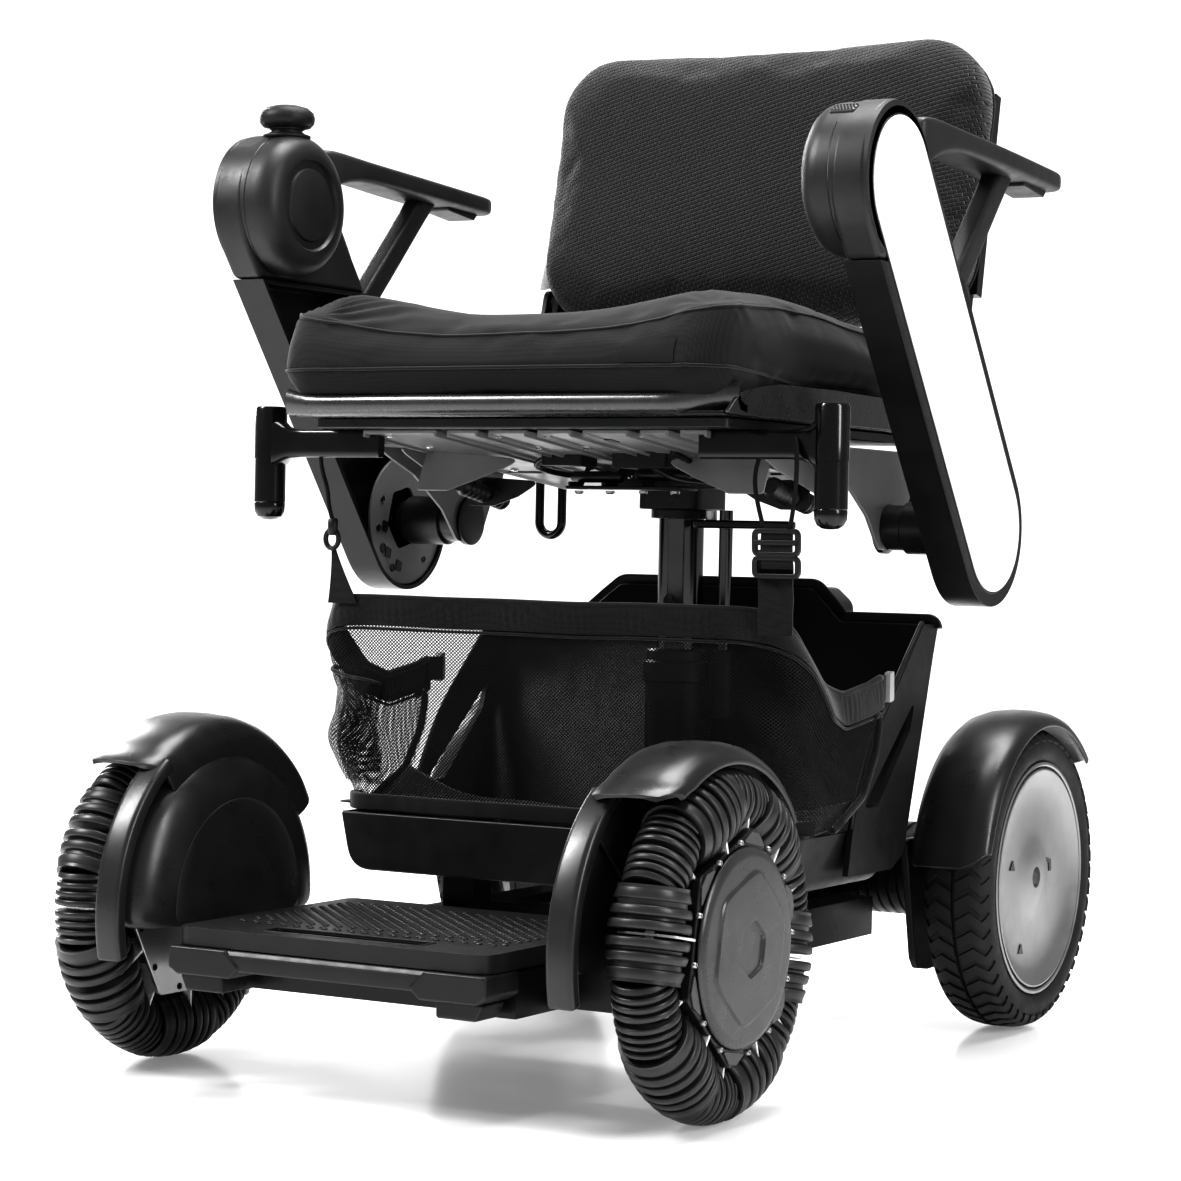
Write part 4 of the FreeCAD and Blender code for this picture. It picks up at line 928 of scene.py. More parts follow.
def make_seat_cushion():
    loops = []
    walls = ((34, 10, lambda x, y: 532),
             (22, 5, lambda x, y: 535),
             (3, 1, lambda x, y: 552 - 8 * eased(y, -190, -60)),
             (2, 0, lambda x, y: 561 - 10 * eased(y, -190, -60)),
             (8, 0, lambda x, y: 0.5 * (558 + seat_seam(x, y))),
             (17, 2, lambda x, y: seat_seam(x, y) - 4),
             (21, 4, lambda x, y: seat_seam(x, y) + 2))
    for inset_front, inset_side, level in walls:
        ring = plan_ring(207 - inset_side, -219 + inset_front, 203 - inset_side, 34, 26)
        loops.append([(x + SEAT_SHIFT, y, level(x, y)) for x, y in ring])
    base = plan_ring(201, -196, 198, 34, 26)
    for shrink in (0.97, 0.93, 0.86, 0.74, 0.58, 0.4, 0.2):
        ring = [(x * shrink + SEAT_SHIFT, (y - 1) * shrink + 1) for x, y in base]
        crown = eased(1 - shrink, 0, 0.16)
        loops.append([(x, y, seat_seam(x, y) * (1 - crown) + seat_top(x, y) * crown + 2) for x, y in ring])
    shape = loft(loops)
    cushion = make("seat_pad", shape, "seat", "seat_cloth", replaces=("seat_cushion",),
                   sharp=180)
    inflate(cushion, 5, 1.6, 5)
    def creases(point):
        """Pulled folds that fan out from the front corners, and a gentle unevenness."""
        total = 0.0
        for x, y, reach, count, depth in ((-186, -196, 150, 26, 1.7), (186, -190, 70, 18, 0.7)):
            away = Vector((point.x - x, point.y - y))
            fan = math.atan2(away.y, away.x)
            fade = max(0, 1 - away.length / reach) * eased(away.length, 8, 30) * eased(point.z, 584, 600)
            total += depth * fade * math.sin(fan * count + 2.2 * math.sin(away.length * 0.05))
        total += 0.5 * math.sin(point.x * 0.045 + 1.3 * math.sin(point.y * 0.03)) * eased(point.z, 560, 600)
        return total
    push(cushion, creases)
    trims = Shape()
    for inset_front, inset_side, level in ((18, 1, seat_seam),
                                           (1, 0, lambda x, y: 557 - 9 * eased(y, -190, -60))):
        ring = plan_ring(207 - inset_side, -219 + inset_front, 203, 34, 26)
        ring = [(x + SEAT_SHIFT, y, level(x, y)) for x, y in ring]
        trims.join(sweep(hugging(cushion, ring, 0.15), circle(1.3, 8), ring=True))
    make("seat_piping", trims, "seat", "seat_piping", sharp=180)
    rows, columns = 10, 14
    patch = []
    for row in range(rows + 1):
        line = [(118 + 46 * column / columns, -232, 560 + 27 * row / rows) for column in range(columns + 1)]
        patch.append(hugging(cushion, line, 0.5))
    make("seat_patch", sheet_of(patch, 0.6), "seat", "blank_patch")


def sheet_of(rows, thickness):
    """A thin closed sheet through a grid of points."""
    height, width = len(rows), len(rows[0])
    grid = [[Vector(point) for point in row] for row in rows]
    points = []
    for lift in (0, thickness):
        for r in range(height):
            for c in range(width):
                across = grid[r][min(c + 1, width - 1)] - grid[r][max(c - 1, 0)]
                up = grid[min(r + 1, height - 1)][c] - grid[max(r - 1, 0)][c]
                points.append(grid[r][c] + across.cross(up).normalized() * lift)
    faces = []
    layer = height * width
    for r in range(height - 1):
        for c in range(width - 1):
            a = r * width + c
            faces.append((a, a + 1, a + width + 1, a + width))
            faces.append((layer + a + width, layer + a + width + 1, layer + a + 1, layer + a))
    edge = list(range(width)) + [r * width + width - 1 for r in range(1, height)]
    edge += [(height - 1) * width + c for c in range(width - 2, -1, -1)]
    edge += [r * width for r in range(height - 2, 0, -1)]
    for index, first in enumerate(edge):
        second = edge[(index + 1) % len(edge)]
        faces.append((second, first, layer + first, layer + second))
    return Shape().add(points, faces)


LEAN = tilt(-11, (0, 236, 646))


def back_ring(inset, y):
    """Outline of the back cushion at one depth, with large round corners."""
    ring = plan_ring(216 - inset, 621 + inset, 884 - inset, 66 - inset * 0.5, 56 - inset * 0.4)
    return [(x, y, z) for x, z in ring]


def make_back_cushion():
    loops = [back_ring(16, 273), back_ring(7, 271), back_ring(2, 262), back_ring(0, 246), back_ring(0, 230),
             back_ring(3, 219), back_ring(9, 213)]
    for inset, y in ((22, 209), (45, 206.5), (80, 205), (115, 204.5)):
        ring = back_ring(9, y)
        shrink = (216 - inset) / 207
        loops.append([(x * shrink, depth, 755.5 + (z - 755.5) * shrink) for x, depth, z in ring])
    shape = loft(loops).moved(LEAN)
    cushion = make("back_pad", shape, "backrest", "back_mesh", replaces=("back_cushion",),
                   sharp=180)
    inflate(cushion, 5, 2.2, 5)
    def leaned(x, y, z):
        return LEAN @ Vector((x, y, z))
    ring = [LEAN @ Vector(point) for point in back_ring(0, 264)]
    make("back_piping", sweep(hugging(cushion, ring, 0.3), circle(2.2, 8), ring=True), "backrest",
         "seat_piping", sharp=180)
    rows = []
    for row in range(9):
        z = 664 + 26 * row / 8
        rows.append([leaned(-213.5 - 15 * column / 6, 247 - 3 * math.sin(column / 3 + row * 0.2),
                            z + 0.8 * math.sin(column))
                     for column in range(7)])
    make("care_tab", sheet_of(rows, 0.6), "backrest", "label_cloth")


# ---------------------------------------------------------------- wheel covers and fenders

def half_disc(radius, bottom, corner):
    """(y, z) outline about the front axle: a round top, a flat bottom and two rounded lower corners."""
    steps = 60
    drop = bottom - FRONT_AXLE.z
    turn = math.acos(max(-1, (drop + corner) / radius))
    points = []
    for step in range(steps + 1):
        angle = turn - 2 * turn * step / steps
        points.append((-radius * math.sin(angle), radius * math.cos(angle)))
    reach = math.sqrt(radius ** 2 - drop ** 2)
    def bend(first, middle, last):
        return [tuple(Vector(first) * (1 - t) ** 2 + Vector(middle) * 2 * t * (1 - t) + Vector(last) * t ** 2)
                for t in (0.2, 0.4, 0.6, 0.8, 1.0)]
    points += bend(points[-1], (reach, drop), (reach - corner, drop))
    points += [((reach - corner) * (1 - 2 * k / 10), drop) for k in range(1, 10)]
    lower = bend(points[0], (-reach, drop), (-reach + corner, drop))
    points += list(reversed(lower))
    return [(DESIGN_FRONT_AXLE_Y + y, FRONT_AXLE.z + z) for y, z in points]


def cover_shape():
    loops = []
    steps = ((201, 116.5), (201, 119.8), (197, 119.6), (191.5, 117), (186, 111.5), (181.5, 103.5),
             (178.6, 94), (177.2, 86), (177.0, 82.5), (177.6, 81.4), (178.1, 80.2), (178.0, 60), (178.0, 30),
             (178.0, 15.5))
    for x, radius in steps:
        corner = 11 if radius > 60 else 2
        loops.append([(x, y, z) for y, z in half_disc(radius, 117 if radius > 14 else 128, corner)])
    return loft(loops)


def ring_sweep(section, axle, front, rear, side, steps=64, flare=lambda t: 0):
    """Carry a closed (x, radius) section round an axle.

    front and rear give the end angle for each x, and flare adds to the radius along the way.
    """
    loops = []
    for step in range(steps + 1):
        t = step / steps
        loops.append([(side * x, *on_circle(axle, radius + flare(t), front(x) * (1 - t) + rear(x) * t))
                      for x, radius in section])
    return loft(loops)


FRONT_ROOF = ((189.5, 108), (188.2, 124), (189.5, 133), (193, 139.5), (199, 144), (208, 146.6), (224, 148),
              (240, 148), (251, 146), (258, 142), (261.5, 137.5), (262.6, 133.5), (261.4, 131.6),
              (259.4, 132.6),
              (258.4, 136.5), (255, 140.4), (249, 143), (239, 144.4), (224, 144.4), (209, 143), (201, 140.4),
              (196, 136.6), (193, 131), (192, 123), (192.6, 108))


def make_front_fender(name, side):
    body = "base"
    front = lambda x: 41 - 7 * eased(x, 246, 264) ** 1.6 - 3 * (1 - eased(x, 189, 204))
    rear = lambda x: -58 + 7 * eased(x, 246, 264)
    roof = ring_sweep(FRONT_ROOF, FRONT_CENTRE, front, rear, side,
                      flare=lambda t: 3.4 * (1 - eased(t, 0, 0.10)) - 1.0 * eased(t, 0.9, 1))
    make(f"front_mudguard_{name}", roof, body, "fender_black", bevel=1.0,
         segments=2, replaces=(f"front_fender_{name}",), sharp=60, bevel_angle=60)
    band = rounded([(187.6, 130), (187.6, 142), (210.5, 142.6), (210.5, 131)], (4, 4.5, 5, 4), 5)
    strut = ring_sweep(band, FRONT_CENTRE, lambda x: 104.5, lambda x: 34, side, 48)
    make(f"fender_strut_{name}", strut, body, "fender_black", bevel=2.4,
         sharp=60, bevel_angle=50)
    hanger = [on_circle(FRONT_CENTRE, 134, 50 - 100 * step / 24) for step in range(25)]
    y, z = FRONT_CENTRE
    hanger += [(y + 22, z + 12), (y, z - 26), (y - 22, z + 12)]
    make(f"fender_hanger_{name}", plate(hanger, side * 203, side * 206.5), body, "shell_black",
         bevel=1)


REAR_ROOF = ((205.2, 56), (205, 90), (205, 112), (206.4, 124), (211, 134.5), (219, 141.5), (231, 145.8),
             (246, 147.6), (262, 147.4), (274, 145.6), (281, 142.4), (284.4, 138.6), (285, 134.6),
             (283.4, 133),
             (281.6, 135.6), (278.6, 139.2), (272, 142), (261, 143.6), (246, 143.8), (232, 142), (221.5, 138),
             (214.5, 131.6), (210.4, 122.6), (209.2, 111), (209, 90), (209, 56))


def make_rear_fender(name, side):
    front = lambda x: 79 + 4 * eased(x, 206, 214) - 6 * eased(x, 262, 286) ** 1.5
    rear = lambda x: -49 + 5 * eased(x, 262, 286)
    shell = ring_sweep(REAR_ROOF, REAR_CENTRE, front, rear, side,
                       flare=lambda t: 1.6 * (1 - eased(t, 0, 0.07)))
    make(f"rear_mudguard_{name}", shell, "base", "fender_black", bevel=1.2,
         segments=2, replaces=(f"rear_fender_{name}",), sharp=60, bevel_angle=50)
    guard = rounded([(156, 172), (180, 66), (188, 57), (210, 54), (243, 55), (250, 75), (215, 110),
                     (206, 172)],
                    (6, 8, 6, 10, 8, 8, 12, 6))
    make(f"hub_guard_{name}", plate(guard, side * 197, side * 204), "base", "shell_black",
         bevel=1.6)


# ---------------------------------------------------------------- rear wheels

TYRE = ((-25, 102.4), (-28, 105), (-30, 111), (-29.4, 118), (-27, 124), (-21, 128.4), (-12, 130.6),
        (-1.6, 131.2),
        (-1.6, 128.8), (1.6, 128.8), (1.6, 131.2), (12, 130.6), (21, 128.4), (27, 124), (29.4, 118),
        (30, 111),
        (28, 105), (25, 102.4))


def tyre_spot(along, lift):
    """(x, radius) on the tread surface, a way along it from the middle groove to the shoulder."""
    line = [(1.8, 131.2), (12, 130.6), (20, 128.8), (25.4, 125.4), (28.6, 120.4)]
    reach = along * (len(line) - 1)
    index = min(int(reach), len(line) - 2)
    t = reach - index
    (x0, r0), (x1, r1) = line[index], line[index + 1]
    x, radius = x0 * (1 - t) + x1 * t, r0 * (1 - t) + r1 * t
    normal = Vector((r0 - r1, x1 - x0)).normalized()
    return x + normal.x * lift, radius + normal.y * lift


def tread_block(centre, row, base, pitch):
    """One zigzag block from the tread's middle to its shoulder; row gives the side."""
    corners, faces = [], []
    stations = 10
    for lift in (-0.6, 2.1):
        for k in range(stations):
            along = k / (stations - 1)
            x, radius = tyre_spot(along, lift)
            skew = pitch * (0.5 * abs(2 * (along * 1.5 % 1) - 1) + 0.12 * along)
            wide = pitch * 0.33
            for edge in (-1, 1):
                turn = base + skew + edge * wide
                corners.append((centre[0] + row * x, centre[1] - radius * math.sin(turn),
                                centre[2] + radius * math.cos(turn)))
    layer = stations * 2
    for k in range(stations - 1):
        a = 2 * k
        faces.append((layer + a, layer + a + 1, layer + a + 3, layer + a + 2))
        faces.append((a, layer + a, layer + a + 2, a + 2))
        faces.append((a + 3, layer + a + 3, layer + a + 1, a + 1))
    faces.append((0, 1, layer + 1, layer))
    faces.append((2 * layer - 2, 2 * layer - 1, layer - 1, layer - 2))
    return Shape().add(corners, faces)


def make_rear_wheel(name, side):
    body = f"rear_wheel_{name}"
    centre = (side * REAR_WHEEL_X, *REAR_CENTRE)
    carcass = lathe(TYRE, centre, side, 120, closed=True)
    make(f"rear_tyre_body_{name}", carcass, body, "tyre_rubber",
         replaces=(f"rear_tyre_{name}",), sharp=40)
    blocks = Shape()
    pitch = 2 * math.pi / TREAD_COUNT
    for row in (1, -1):
        for index in range(TREAD_COUNT):
            blocks.join(tread_block(centre, row, pitch * (index + (0.5 if row < 0 else 0)), pitch))
    make(f"rear_tread_{name}", blocks, body, "tyre_rubber", bevel=0.5, segments=1, sharp=40)
    dish = ((24.6, 9.2), (24.4, 15), (23.4, 22), (21.4, 33), (20.4, 40), (20.2, 62), (21, 78), (24, 88),
            (27.4, 93.4),
            (28.4, 95), (28, 96.4), (24, 96.6), (24, 98.4), (27.6, 98.6), (28.6, 100), (28, 102.2),
            (-26, 102.2), (-26, 97), (6, 92), (6, 46), (-23, 40), (-24, 9.2))
    make(f"rear_disc_{name}", lathe(dish, centre, side, 120, closed=True), body, "satin_silver",
         replaces=(f"rear_rim_{name}",), sharp=32)
    gap = lathe([(24.3, 96.7), (25, 97.4), (24.3, 98.3)], centre, side, 96, closed=True)
    slots = Shape().join(gap)
    for turn, radius, size in ((-68, 34, 1.5), (74, 50, 1.0), (158, 66, 1.0)):
        y, z = on_circle(REAR_CENTRE, radius, turn)
        wedge = [(-6, -4), (6, -5), (1, 5)]
        if size > 1:
            wedge = [(-10, 4), (-8, 1), (4, -2), (5, -7), (9, -7), (8, 0)]
        wedge = [(y + a * size, z + b * size) for a, b in wedge]
        slots.join(plate(rounded(wedge, 0.8, 3), side * (REAR_WHEEL_X + 20.6), side * (REAR_WHEEL_X + 21.3)))
    make(f"rear_disc_slots_{name}", slots, body, "hub_black", bevel=0.15, segments=1)


def make_drive_details(name, side):
    centre = (side * 188, *REAR_CENTRE)
    head = ((-8, 30), (-4, 45), (0, 50), (3, 52), (9, 52), (10, 49.5), (14, 49.5), (15, 52), (22, 52),
            (24, 49), (24, 12))
    make(f"gear_housing_{name}", lathe(head, centre, side, 84), "base", "cast_alloy",
         replaces=(f"drive_motor_{name}",), sharp=30)
    can = [(-92, 34), (-91, 40), (-88, 42)]
    for index in range(7):
        start = -82 + 10 * index
        can += [(start, 42), (start + 1, 40), (start + 4, 40), (start + 5, 42)]
    can += [(-10, 42), (-8, 40), (-6, 30)]
    make(f"motor_can_{name}", lathe(can, centre, side, 72), "base", "hub_black", sharp=30)
    bolts = Shape()
    for index in range(6):
        spot = (side * 211.6, *on_circle(REAR_CENTRE, 43, 60 * index + 15))
        bolts.join(bolt(spot, 3.6, 2.6, side))
    bolts.join(lathe([(17, 9), (79, 9)], centre, side, 24))
    make(f"gear_bolts_{name}", bolts, "base", "bright_steel")


# ---------------------------------------------------------------- foot platform

def make_footplate():
    half, front, rear, top = 138, DECK_FRONT, -188, 127
    outline = rounded([(-half, rear), (-half, front), (half, front), (half, rear)], (10, 17, 17, 10), 8)
    slot = rounded([(-70, -408), (-70, -384), (70, -384), (70, -408)], 5, 5)
    deck = with_hole(outline, slot, top - 13.6, top)
    make("foot_deck", deck, "base", "deck_plastic", bevel=2.2, replaces=("footplate",),
         bevel_angle=40)
    studs = Shape()
    pitch_x, pitch_y = 12.4, 6.2
    stud = [(0, 2.6), (0.7, 2.3), (1.2, 1.4), (1.4, 0.5)]
    for start, rows, sides in ((20, 22, 10), (0, 2, 8)):
        for row in range(rows):
            y = -372 + row * pitch_y + start
            for column in range(-10, 11):
                x = column * pitch_x + (pitch_x / 2 if row % 2 else 0)
                if abs(x) <= 122 and y <= -202:
                    studs.join(lathe(stud, (x, y, top - 0.1), 1, sides, axis="z"))
    make("deck_studs", studs, "base", "deck_plastic", sharp=180)
    grip_rim = sweep([(x, y, top - 0.6) for x, y in slot], rounded_box(-1.4, -1.2, 1.4, 1.2, 0.6, 3),
                     ring=True, up=(0, 0, 1))
    make("hand_slot_rim", grip_rim, "base", "satin_black")


def with_hole(outline, hole, low, high):
    """A plate between two heights with one hole through it."""
    mesh = bmesh.new()
    rims = []
    for ring in (outline, hole):
        verts = [mesh.verts.new((x, y, low)) for x, y in ring]
        rims.append([mesh.edges.new((verts[i], verts[(i + 1) % len(verts)])) for i in range(len(verts))])
    bmesh.ops.triangle_fill(mesh, use_beauty=True, use_dissolve=False, edges=rims[0] + rims[1])
    grown = bmesh.ops.extrude_face_region(mesh, geom=list(mesh.faces))
    for item in grown["geom"]:
        if isinstance(item, bmesh.types.BMVert):
            item.co.z = high
    bmesh.ops.recalc_face_normals(mesh, faces=mesh.faces)
    mesh.verts.index_update()
    shape = Shape().add([vert.co.copy() for vert in mesh.verts],
                        [[vert.index for vert in face.verts] for face in mesh.faces])
    mesh.free()
    return shape


def make_bumper():
    front = DECK_FRONT
    bar = rounded([(front - 3.4, 97), (front - 3.4, 109), (front - 1, 112.6), (front + 12, 112.6),
                   (front + 12, 97)], 2, 4)
    make("bumper_bar", plate(bar, -92, 92), "base", "satin_black", bevel=1.2,
         replaces=("front_bumper",))
    groove = plate([(front - 3.7, 108.2), (front - 3.7, 109.6), (front, 109.6), (front, 108.2)], -74, 74)
    make("bumper_groove", groove, "base", "hub_black", bevel=0.3)
    for name, side in SIDES:
        outline = rounded([(74, 100), (88, 112.8), (140, 112.8), (140, 97), (132, 91.5), (84, 91.5)],
                          (3, 3, 4, 5, 6, 4))
        block = plate(outline, front - 5, front + 42, along="y").on_side(side)
        make(f"bumper_block_{name}", block, "base", "satin_black", bevel=4, segments=4)
        foot = lathe([(0, 10), (-5.4, 10), (-7, 8.4), (-7, 3)], (side * 108, front + 20, 92), 1, 28, axis="z")
        make(f"bumper_foot_{name}", foot, "base", "roller_rubber", sharp=50)
    lower = rounded([(94, 79), (94, 92), (134, 92), (128, 79)], 3)
    for name, side in SIDES:
        make(f"bumper_lug_{name}", plate(lower, front + 2, front + 34, along="y").on_side(side), "base",
             "satin_black", bevel=2)


# ---------------------------------------------------------------- tub

def make_tub():
    """Tray, pillars and back wall as one thin-walled shell with a turned-out rim."""
    for name, side in SIDES:
        pillar = rounded([(18, 188), (26, 208), (62, 266), (155, 357), (168, 357), (186, 357), (176, 330),
                          (122, 163), (97, 152), (10, 152)], (10, 10, 20, 8, 2, 3, 30, 24, 10, 2))
        slot = rounded([(140, 294), (130, 267), (119, 257), (67, 207), (36, 206)], (8, 8, 8, 10, 10))
        wall = with_hole(pillar, slot, 211, 216)
        make(f"tub_pillar_{name}", wall.stood_up().on_side(side), "base", "shell_black",
             bevel=1.6, bevel_angle=50)
        rim = smooth_path([(213.5, 22, 190), (213.5, 28, 209), (213.5, 64, 266), (213.5, 110, 312),
                           (213.5, 158, 357)], 6)
        lip = sweep(rim, rounded_box(-4.5, -2, 4.5, 2, 1.6, 3), up=(1, 0, 0))
        make(f"tub_rim_{name}", lip.on_side(side), "base", "satin_black")
    front_wall = plate(rounded([(-199, 139), (-210, 188), (210, 188), (199, 139)], (24, 3, 3, 24), 8), -100,
                       -94.5, along="y")
    make("tub_front", front_wall, "base", "shell_black", bevel=2.2, replaces=("tub_shell",))
    outside = rounded([(-210, 188), (-199, 139), (199, 139), (210, 188)], (0.5, 24, 24, 0.5), 8)
    inside = rounded([(206, 188), (195.5, 143.5), (-195.5, 143.5), (-206, 188)], (0.5, 20, 20, 0.5), 8)
    make("tub_tray", plate(outside + inside, -97, 104, along="y"), "base", "shell_black",
         bevel=0.8, bevel_angle=50)
    top_edge = [(-213, 357), (-128, 357), (-112, 372), (-97, 385), (97, 385), (112, 372), (128, 357),
                (213, 357)]
    top_edge = rounded(top_edge + [(213, 150), (-213, 150)], (4, 8, 10, 12, 12, 10, 8, 4, 6, 6), 6)
    loops = []
    def depth(z):
        return 97 + (z - 139) * 25 / 24 if z < 163 else 122 + (z - 163) * 64 / 222
    for offset in (-5, 0):
        loops.append([(x, depth(z) + offset, z) for x, z in top_edge])
    make("tub_back", loft(loops), "base", "shell_black", bevel=1.6, bevel_angle=50)
    path = [(x, depth(z) + 3.5, z) for x, z in top_edge[:-14]]
    lip = sweep(path, rounded_box(-9, -1.8, 9, 1.8, 1.5, 3), up=(0, -0.96, -0.28))
    make("tub_back_rim", lip, "base", "satin_black", sharp=50)


# ---------------------------------------------------------------- basket

BASKET_HALF = 222
BASKET_CORNER = 30


def follow(points, value):
    """Straight-line reading between (position, level) pairs."""
    if value <= points[0][0]:
        return points[0][1]
    for (a, low), (b, high) in zip(points, points[1:]):
        if value <= b:
            t = (value - a) / (b - a)
            return low + (high - low) * t
    return points[-1][1]


RIM_LINE = rounded([(-140, 373), (-108, 371), (-84, 347), (-50, 312), (-14, 302), (30, 309), (70, 319)], 26,
                   6)
FOOT_LINE = rounded([(-140, 193), (-88, 193), (-34, 194), (20, 218), (44, 252), (54, 290)], 18, 6)


def basket_front(z):
    """y of the front panel at one height; it leans back towards its foot."""
    return -122 + 34 * (367 - z) / 177


def basket_spot(along, z, out=0.0):
    """A point on the basket's cloth; along runs round one corner from the middle of the front."""
    side = 1 if along >= 0 else -1
    reach = abs(along)
    flat = BASKET_HALF - BASKET_CORNER
    front = basket_front(z)
    quarter = BASKET_CORNER * math.pi / 2
    if reach <= flat:
        x, y, normal = reach, front, Vector((0, -1, 0))
    elif reach <= flat + quarter:
        turn = (reach - flat) / BASKET_CORNER
        x, y = flat + BASKET_CORNER * math.sin(turn), front + BASKET_CORNER * (1 - math.cos(turn))
        normal = Vector((math.sin(turn), -math.cos(turn), 0))
    else:
        x, y, normal = BASKET_HALF, front + BASKET_CORNER + reach - flat - quarter, Vector((1, 0, 0))
    height = (z - 195) / 160
    belly = 5.0 * math.sin(math.pi * min(max(height, 0), 1)) * (1 - eased(reach, flat - 10, flat + 60))
    belly += 1.7 * math.sin(along * 0.021 + z * 0.016) + 1.0 * math.sin(along * 0.047 - z * 0.035 + 1.1)
    folds = eased(reach, 150, 215) * (1 - eased(reach, 250, 330))
    belly += 6.0 * folds * math.sin((z + reach * 0.9) * 0.075) * (1 if side > 0 else 0.8)
    spot = Vector((x, y, z)) + normal * (belly + out)
    spot.x *= side
    return spot


def rim_at(along):
    """Heights of the basket's rim and foot at one place along its cloth."""
    y = basket_spot(along, 300).y
    return follow(RIM_LINE, y), follow(FOOT_LINE, y)


def wing_end():
    flat = BASKET_HALF - BASKET_CORNER
    return flat + BASKET_CORNER * math.pi / 2 + 52 - (basket_front(300) + BASKET_CORNER)


def net(spot, inside, start, end, low, high, pitch_x=3.3, pitch_z=2.9, strand=0.36):
    """Knitted net as real strands: diamond cells, each with an opening."""
    shape = Shape()
    index_of = {}
    def vertex(a, b):
        key = (round(a * 4), round(b * 4))
        if key not in index_of:
            index_of[key] = len(shape.points)
            shape.points.append(spot(a, b))
        return index_of[key]
    rows = int((high - low) / (pitch_z / 2))
    for row in range(rows + 1):
        z = low + row * pitch_z / 2
        shift = pitch_x / 2 if row % 2 else 0
        for column in range(int((end - start) / pitch_x) + 1):
            a = start + column * pitch_x + shift
            if not inside(a, z):
                continue
            corners = [(a - pitch_x / 2, z), (a, z - pitch_z / 2), (a + pitch_x / 2, z), (a, z + pitch_z / 2)]
            outer = [vertex(*corner) for corner in corners]
            inner = []
            for corner in corners:
                inner.append(len(shape.points))
                shape.points.append(spot(a + (corner[0] - a) * (1 - strand * 1.05),
                                         z + (corner[1] - z) * (1 - strand)))
            for k in range(4):
                j = (k + 1) % 4
                shape.faces.append([outer[k], outer[j], inner[j], inner[k]])
    return shape


def band(start, end, top, bottom, step=6.0, lift=0.0, thickness=2.4, gather=0.0):
    """A strip of solid cloth along the basket between two height functions, as a closed sheet."""
    count = int((end - start) / step)
    rows = []
    for row in range(7):
        t = row / 6
        line = []
        for k in range(count + 1):
            along = start + (end - start) * k / count
            z = bottom(along) * (1 - t) + top(along) * t
            swell = math.sin(math.pi * t)
            ripple = gather * math.sin(along * 1.05 + 2.2 * math.sin(along * 0.11))
            puff = swell * 1.2 + ripple * (0.4 + 0.6 * swell)
            line.append(basket_spot(along, z, lift + puff))
        rows.append(line)
    return sheet_of(rows, thickness)


def make_basket():
    end = wing_end()
    deep = 23
    def top_of(along):
        return rim_at(along)[0]
    def hem_of(along):
        return rim_at(along)[0] - deep - 2 * eased(abs(along), 180, 260)
    def inside(along, z):
        high, low = rim_at(along)
        return low + 3 < z < high - deep + 4
    cells = net(basket_spot, inside, -end, end, 191, 356)
    cloth = make("basket_net", cells, "base", "net_strand", replaces=("basket",), sharp=180)
    bands = make("basket_band", band(-end, end, top_of, hem_of, 2.2, 0.4, 2.4, 0.35), "base", "webbing_soft",
                 sharp=70)
    trims = Shape()
    count = 240
    for drop, lift, radius in ((0, 0.4, 3.0), (deep - 1.5, 1.8, 1.5), (deep + 3, 1.6, 1.3)):
        path = []
        for k in range(count + 1):
            along = -end + 2 * end * k / count
            dip = 2 * eased(abs(along), 180, 260) if drop else 0
            path.append(basket_spot(along, top_of(along) - drop - dip, lift))
        trims.join(sweep(path, circle(radius, 8)))
    for side in (1, -1):
        edge = [Vector((side * (BASKET_HALF + 1.2), y, z)) for y, z in FOOT_LINE if y > -60]
        trims.join(sweep(edge, circle(3.2, 8)))
        edge = [Vector((side * (BASKET_HALF + 1), 54, 286)), Vector((side * (BASKET_HALF + 1), 53, 312))]
        trims.join(sweep(edge, circle(3, 8)))
    trim_piece = make("basket_piping", trims, "base", "webbing_soft", sharp=180)
    ledge = rounded_box(-5, -7, 4.5, 7, 2.2, 3)
    path = [basket_spot(-232 + 464 * k / 80, 196.5, 1.4) for k in range(81)]
    hem_piece = make("basket_hem", sweep(path, ledge, up=(0, 0, 1)), "base", "webbing_soft",
                     sharp=60)
    rows = []
    for k in range(21):
        y = -86 + 108 * k / 20
        rows.append([Vector((x, y, 192.5 + 1.6 * math.sin(x * 0.05) * math.sin(y * 0.06)
                             - (1 if abs(x) < 180 else 0)
                             + max(0, y + 34) * 0.45 * (abs(x) / 220) ** 4)) for x in range(-220, 221, 11)])
    floor = make("basket_floor", sheet_of(rows, 1.5), "base", "net_cloth", sharp=180)
    tabs = make_basket_tabs()
    pocket = make_net_pocket()


def make_basket_tabs():
    tabs, clips = Shape(), Shape()
    for side in (1, -1):
        strap = [[Vector((side * (221 - 0.03 * (y - 50)), y, z)) for z in (295, 302, 309, 316)]
                 for y in range(48, 73, 4)]
        tabs.join(sheet_of(strap, 2.2 * side))
        clips.join(plate(rounded([(68, 293), (68, 318), (76, 320), (77, 295)], 2, 3), side * 218.6,
                         side * 224.4))
    return [make("basket_tabs", tabs, "base", "webbing_soft"),
            make("basket_clips", clips, "base", "clip_grey", bevel=1.0)]


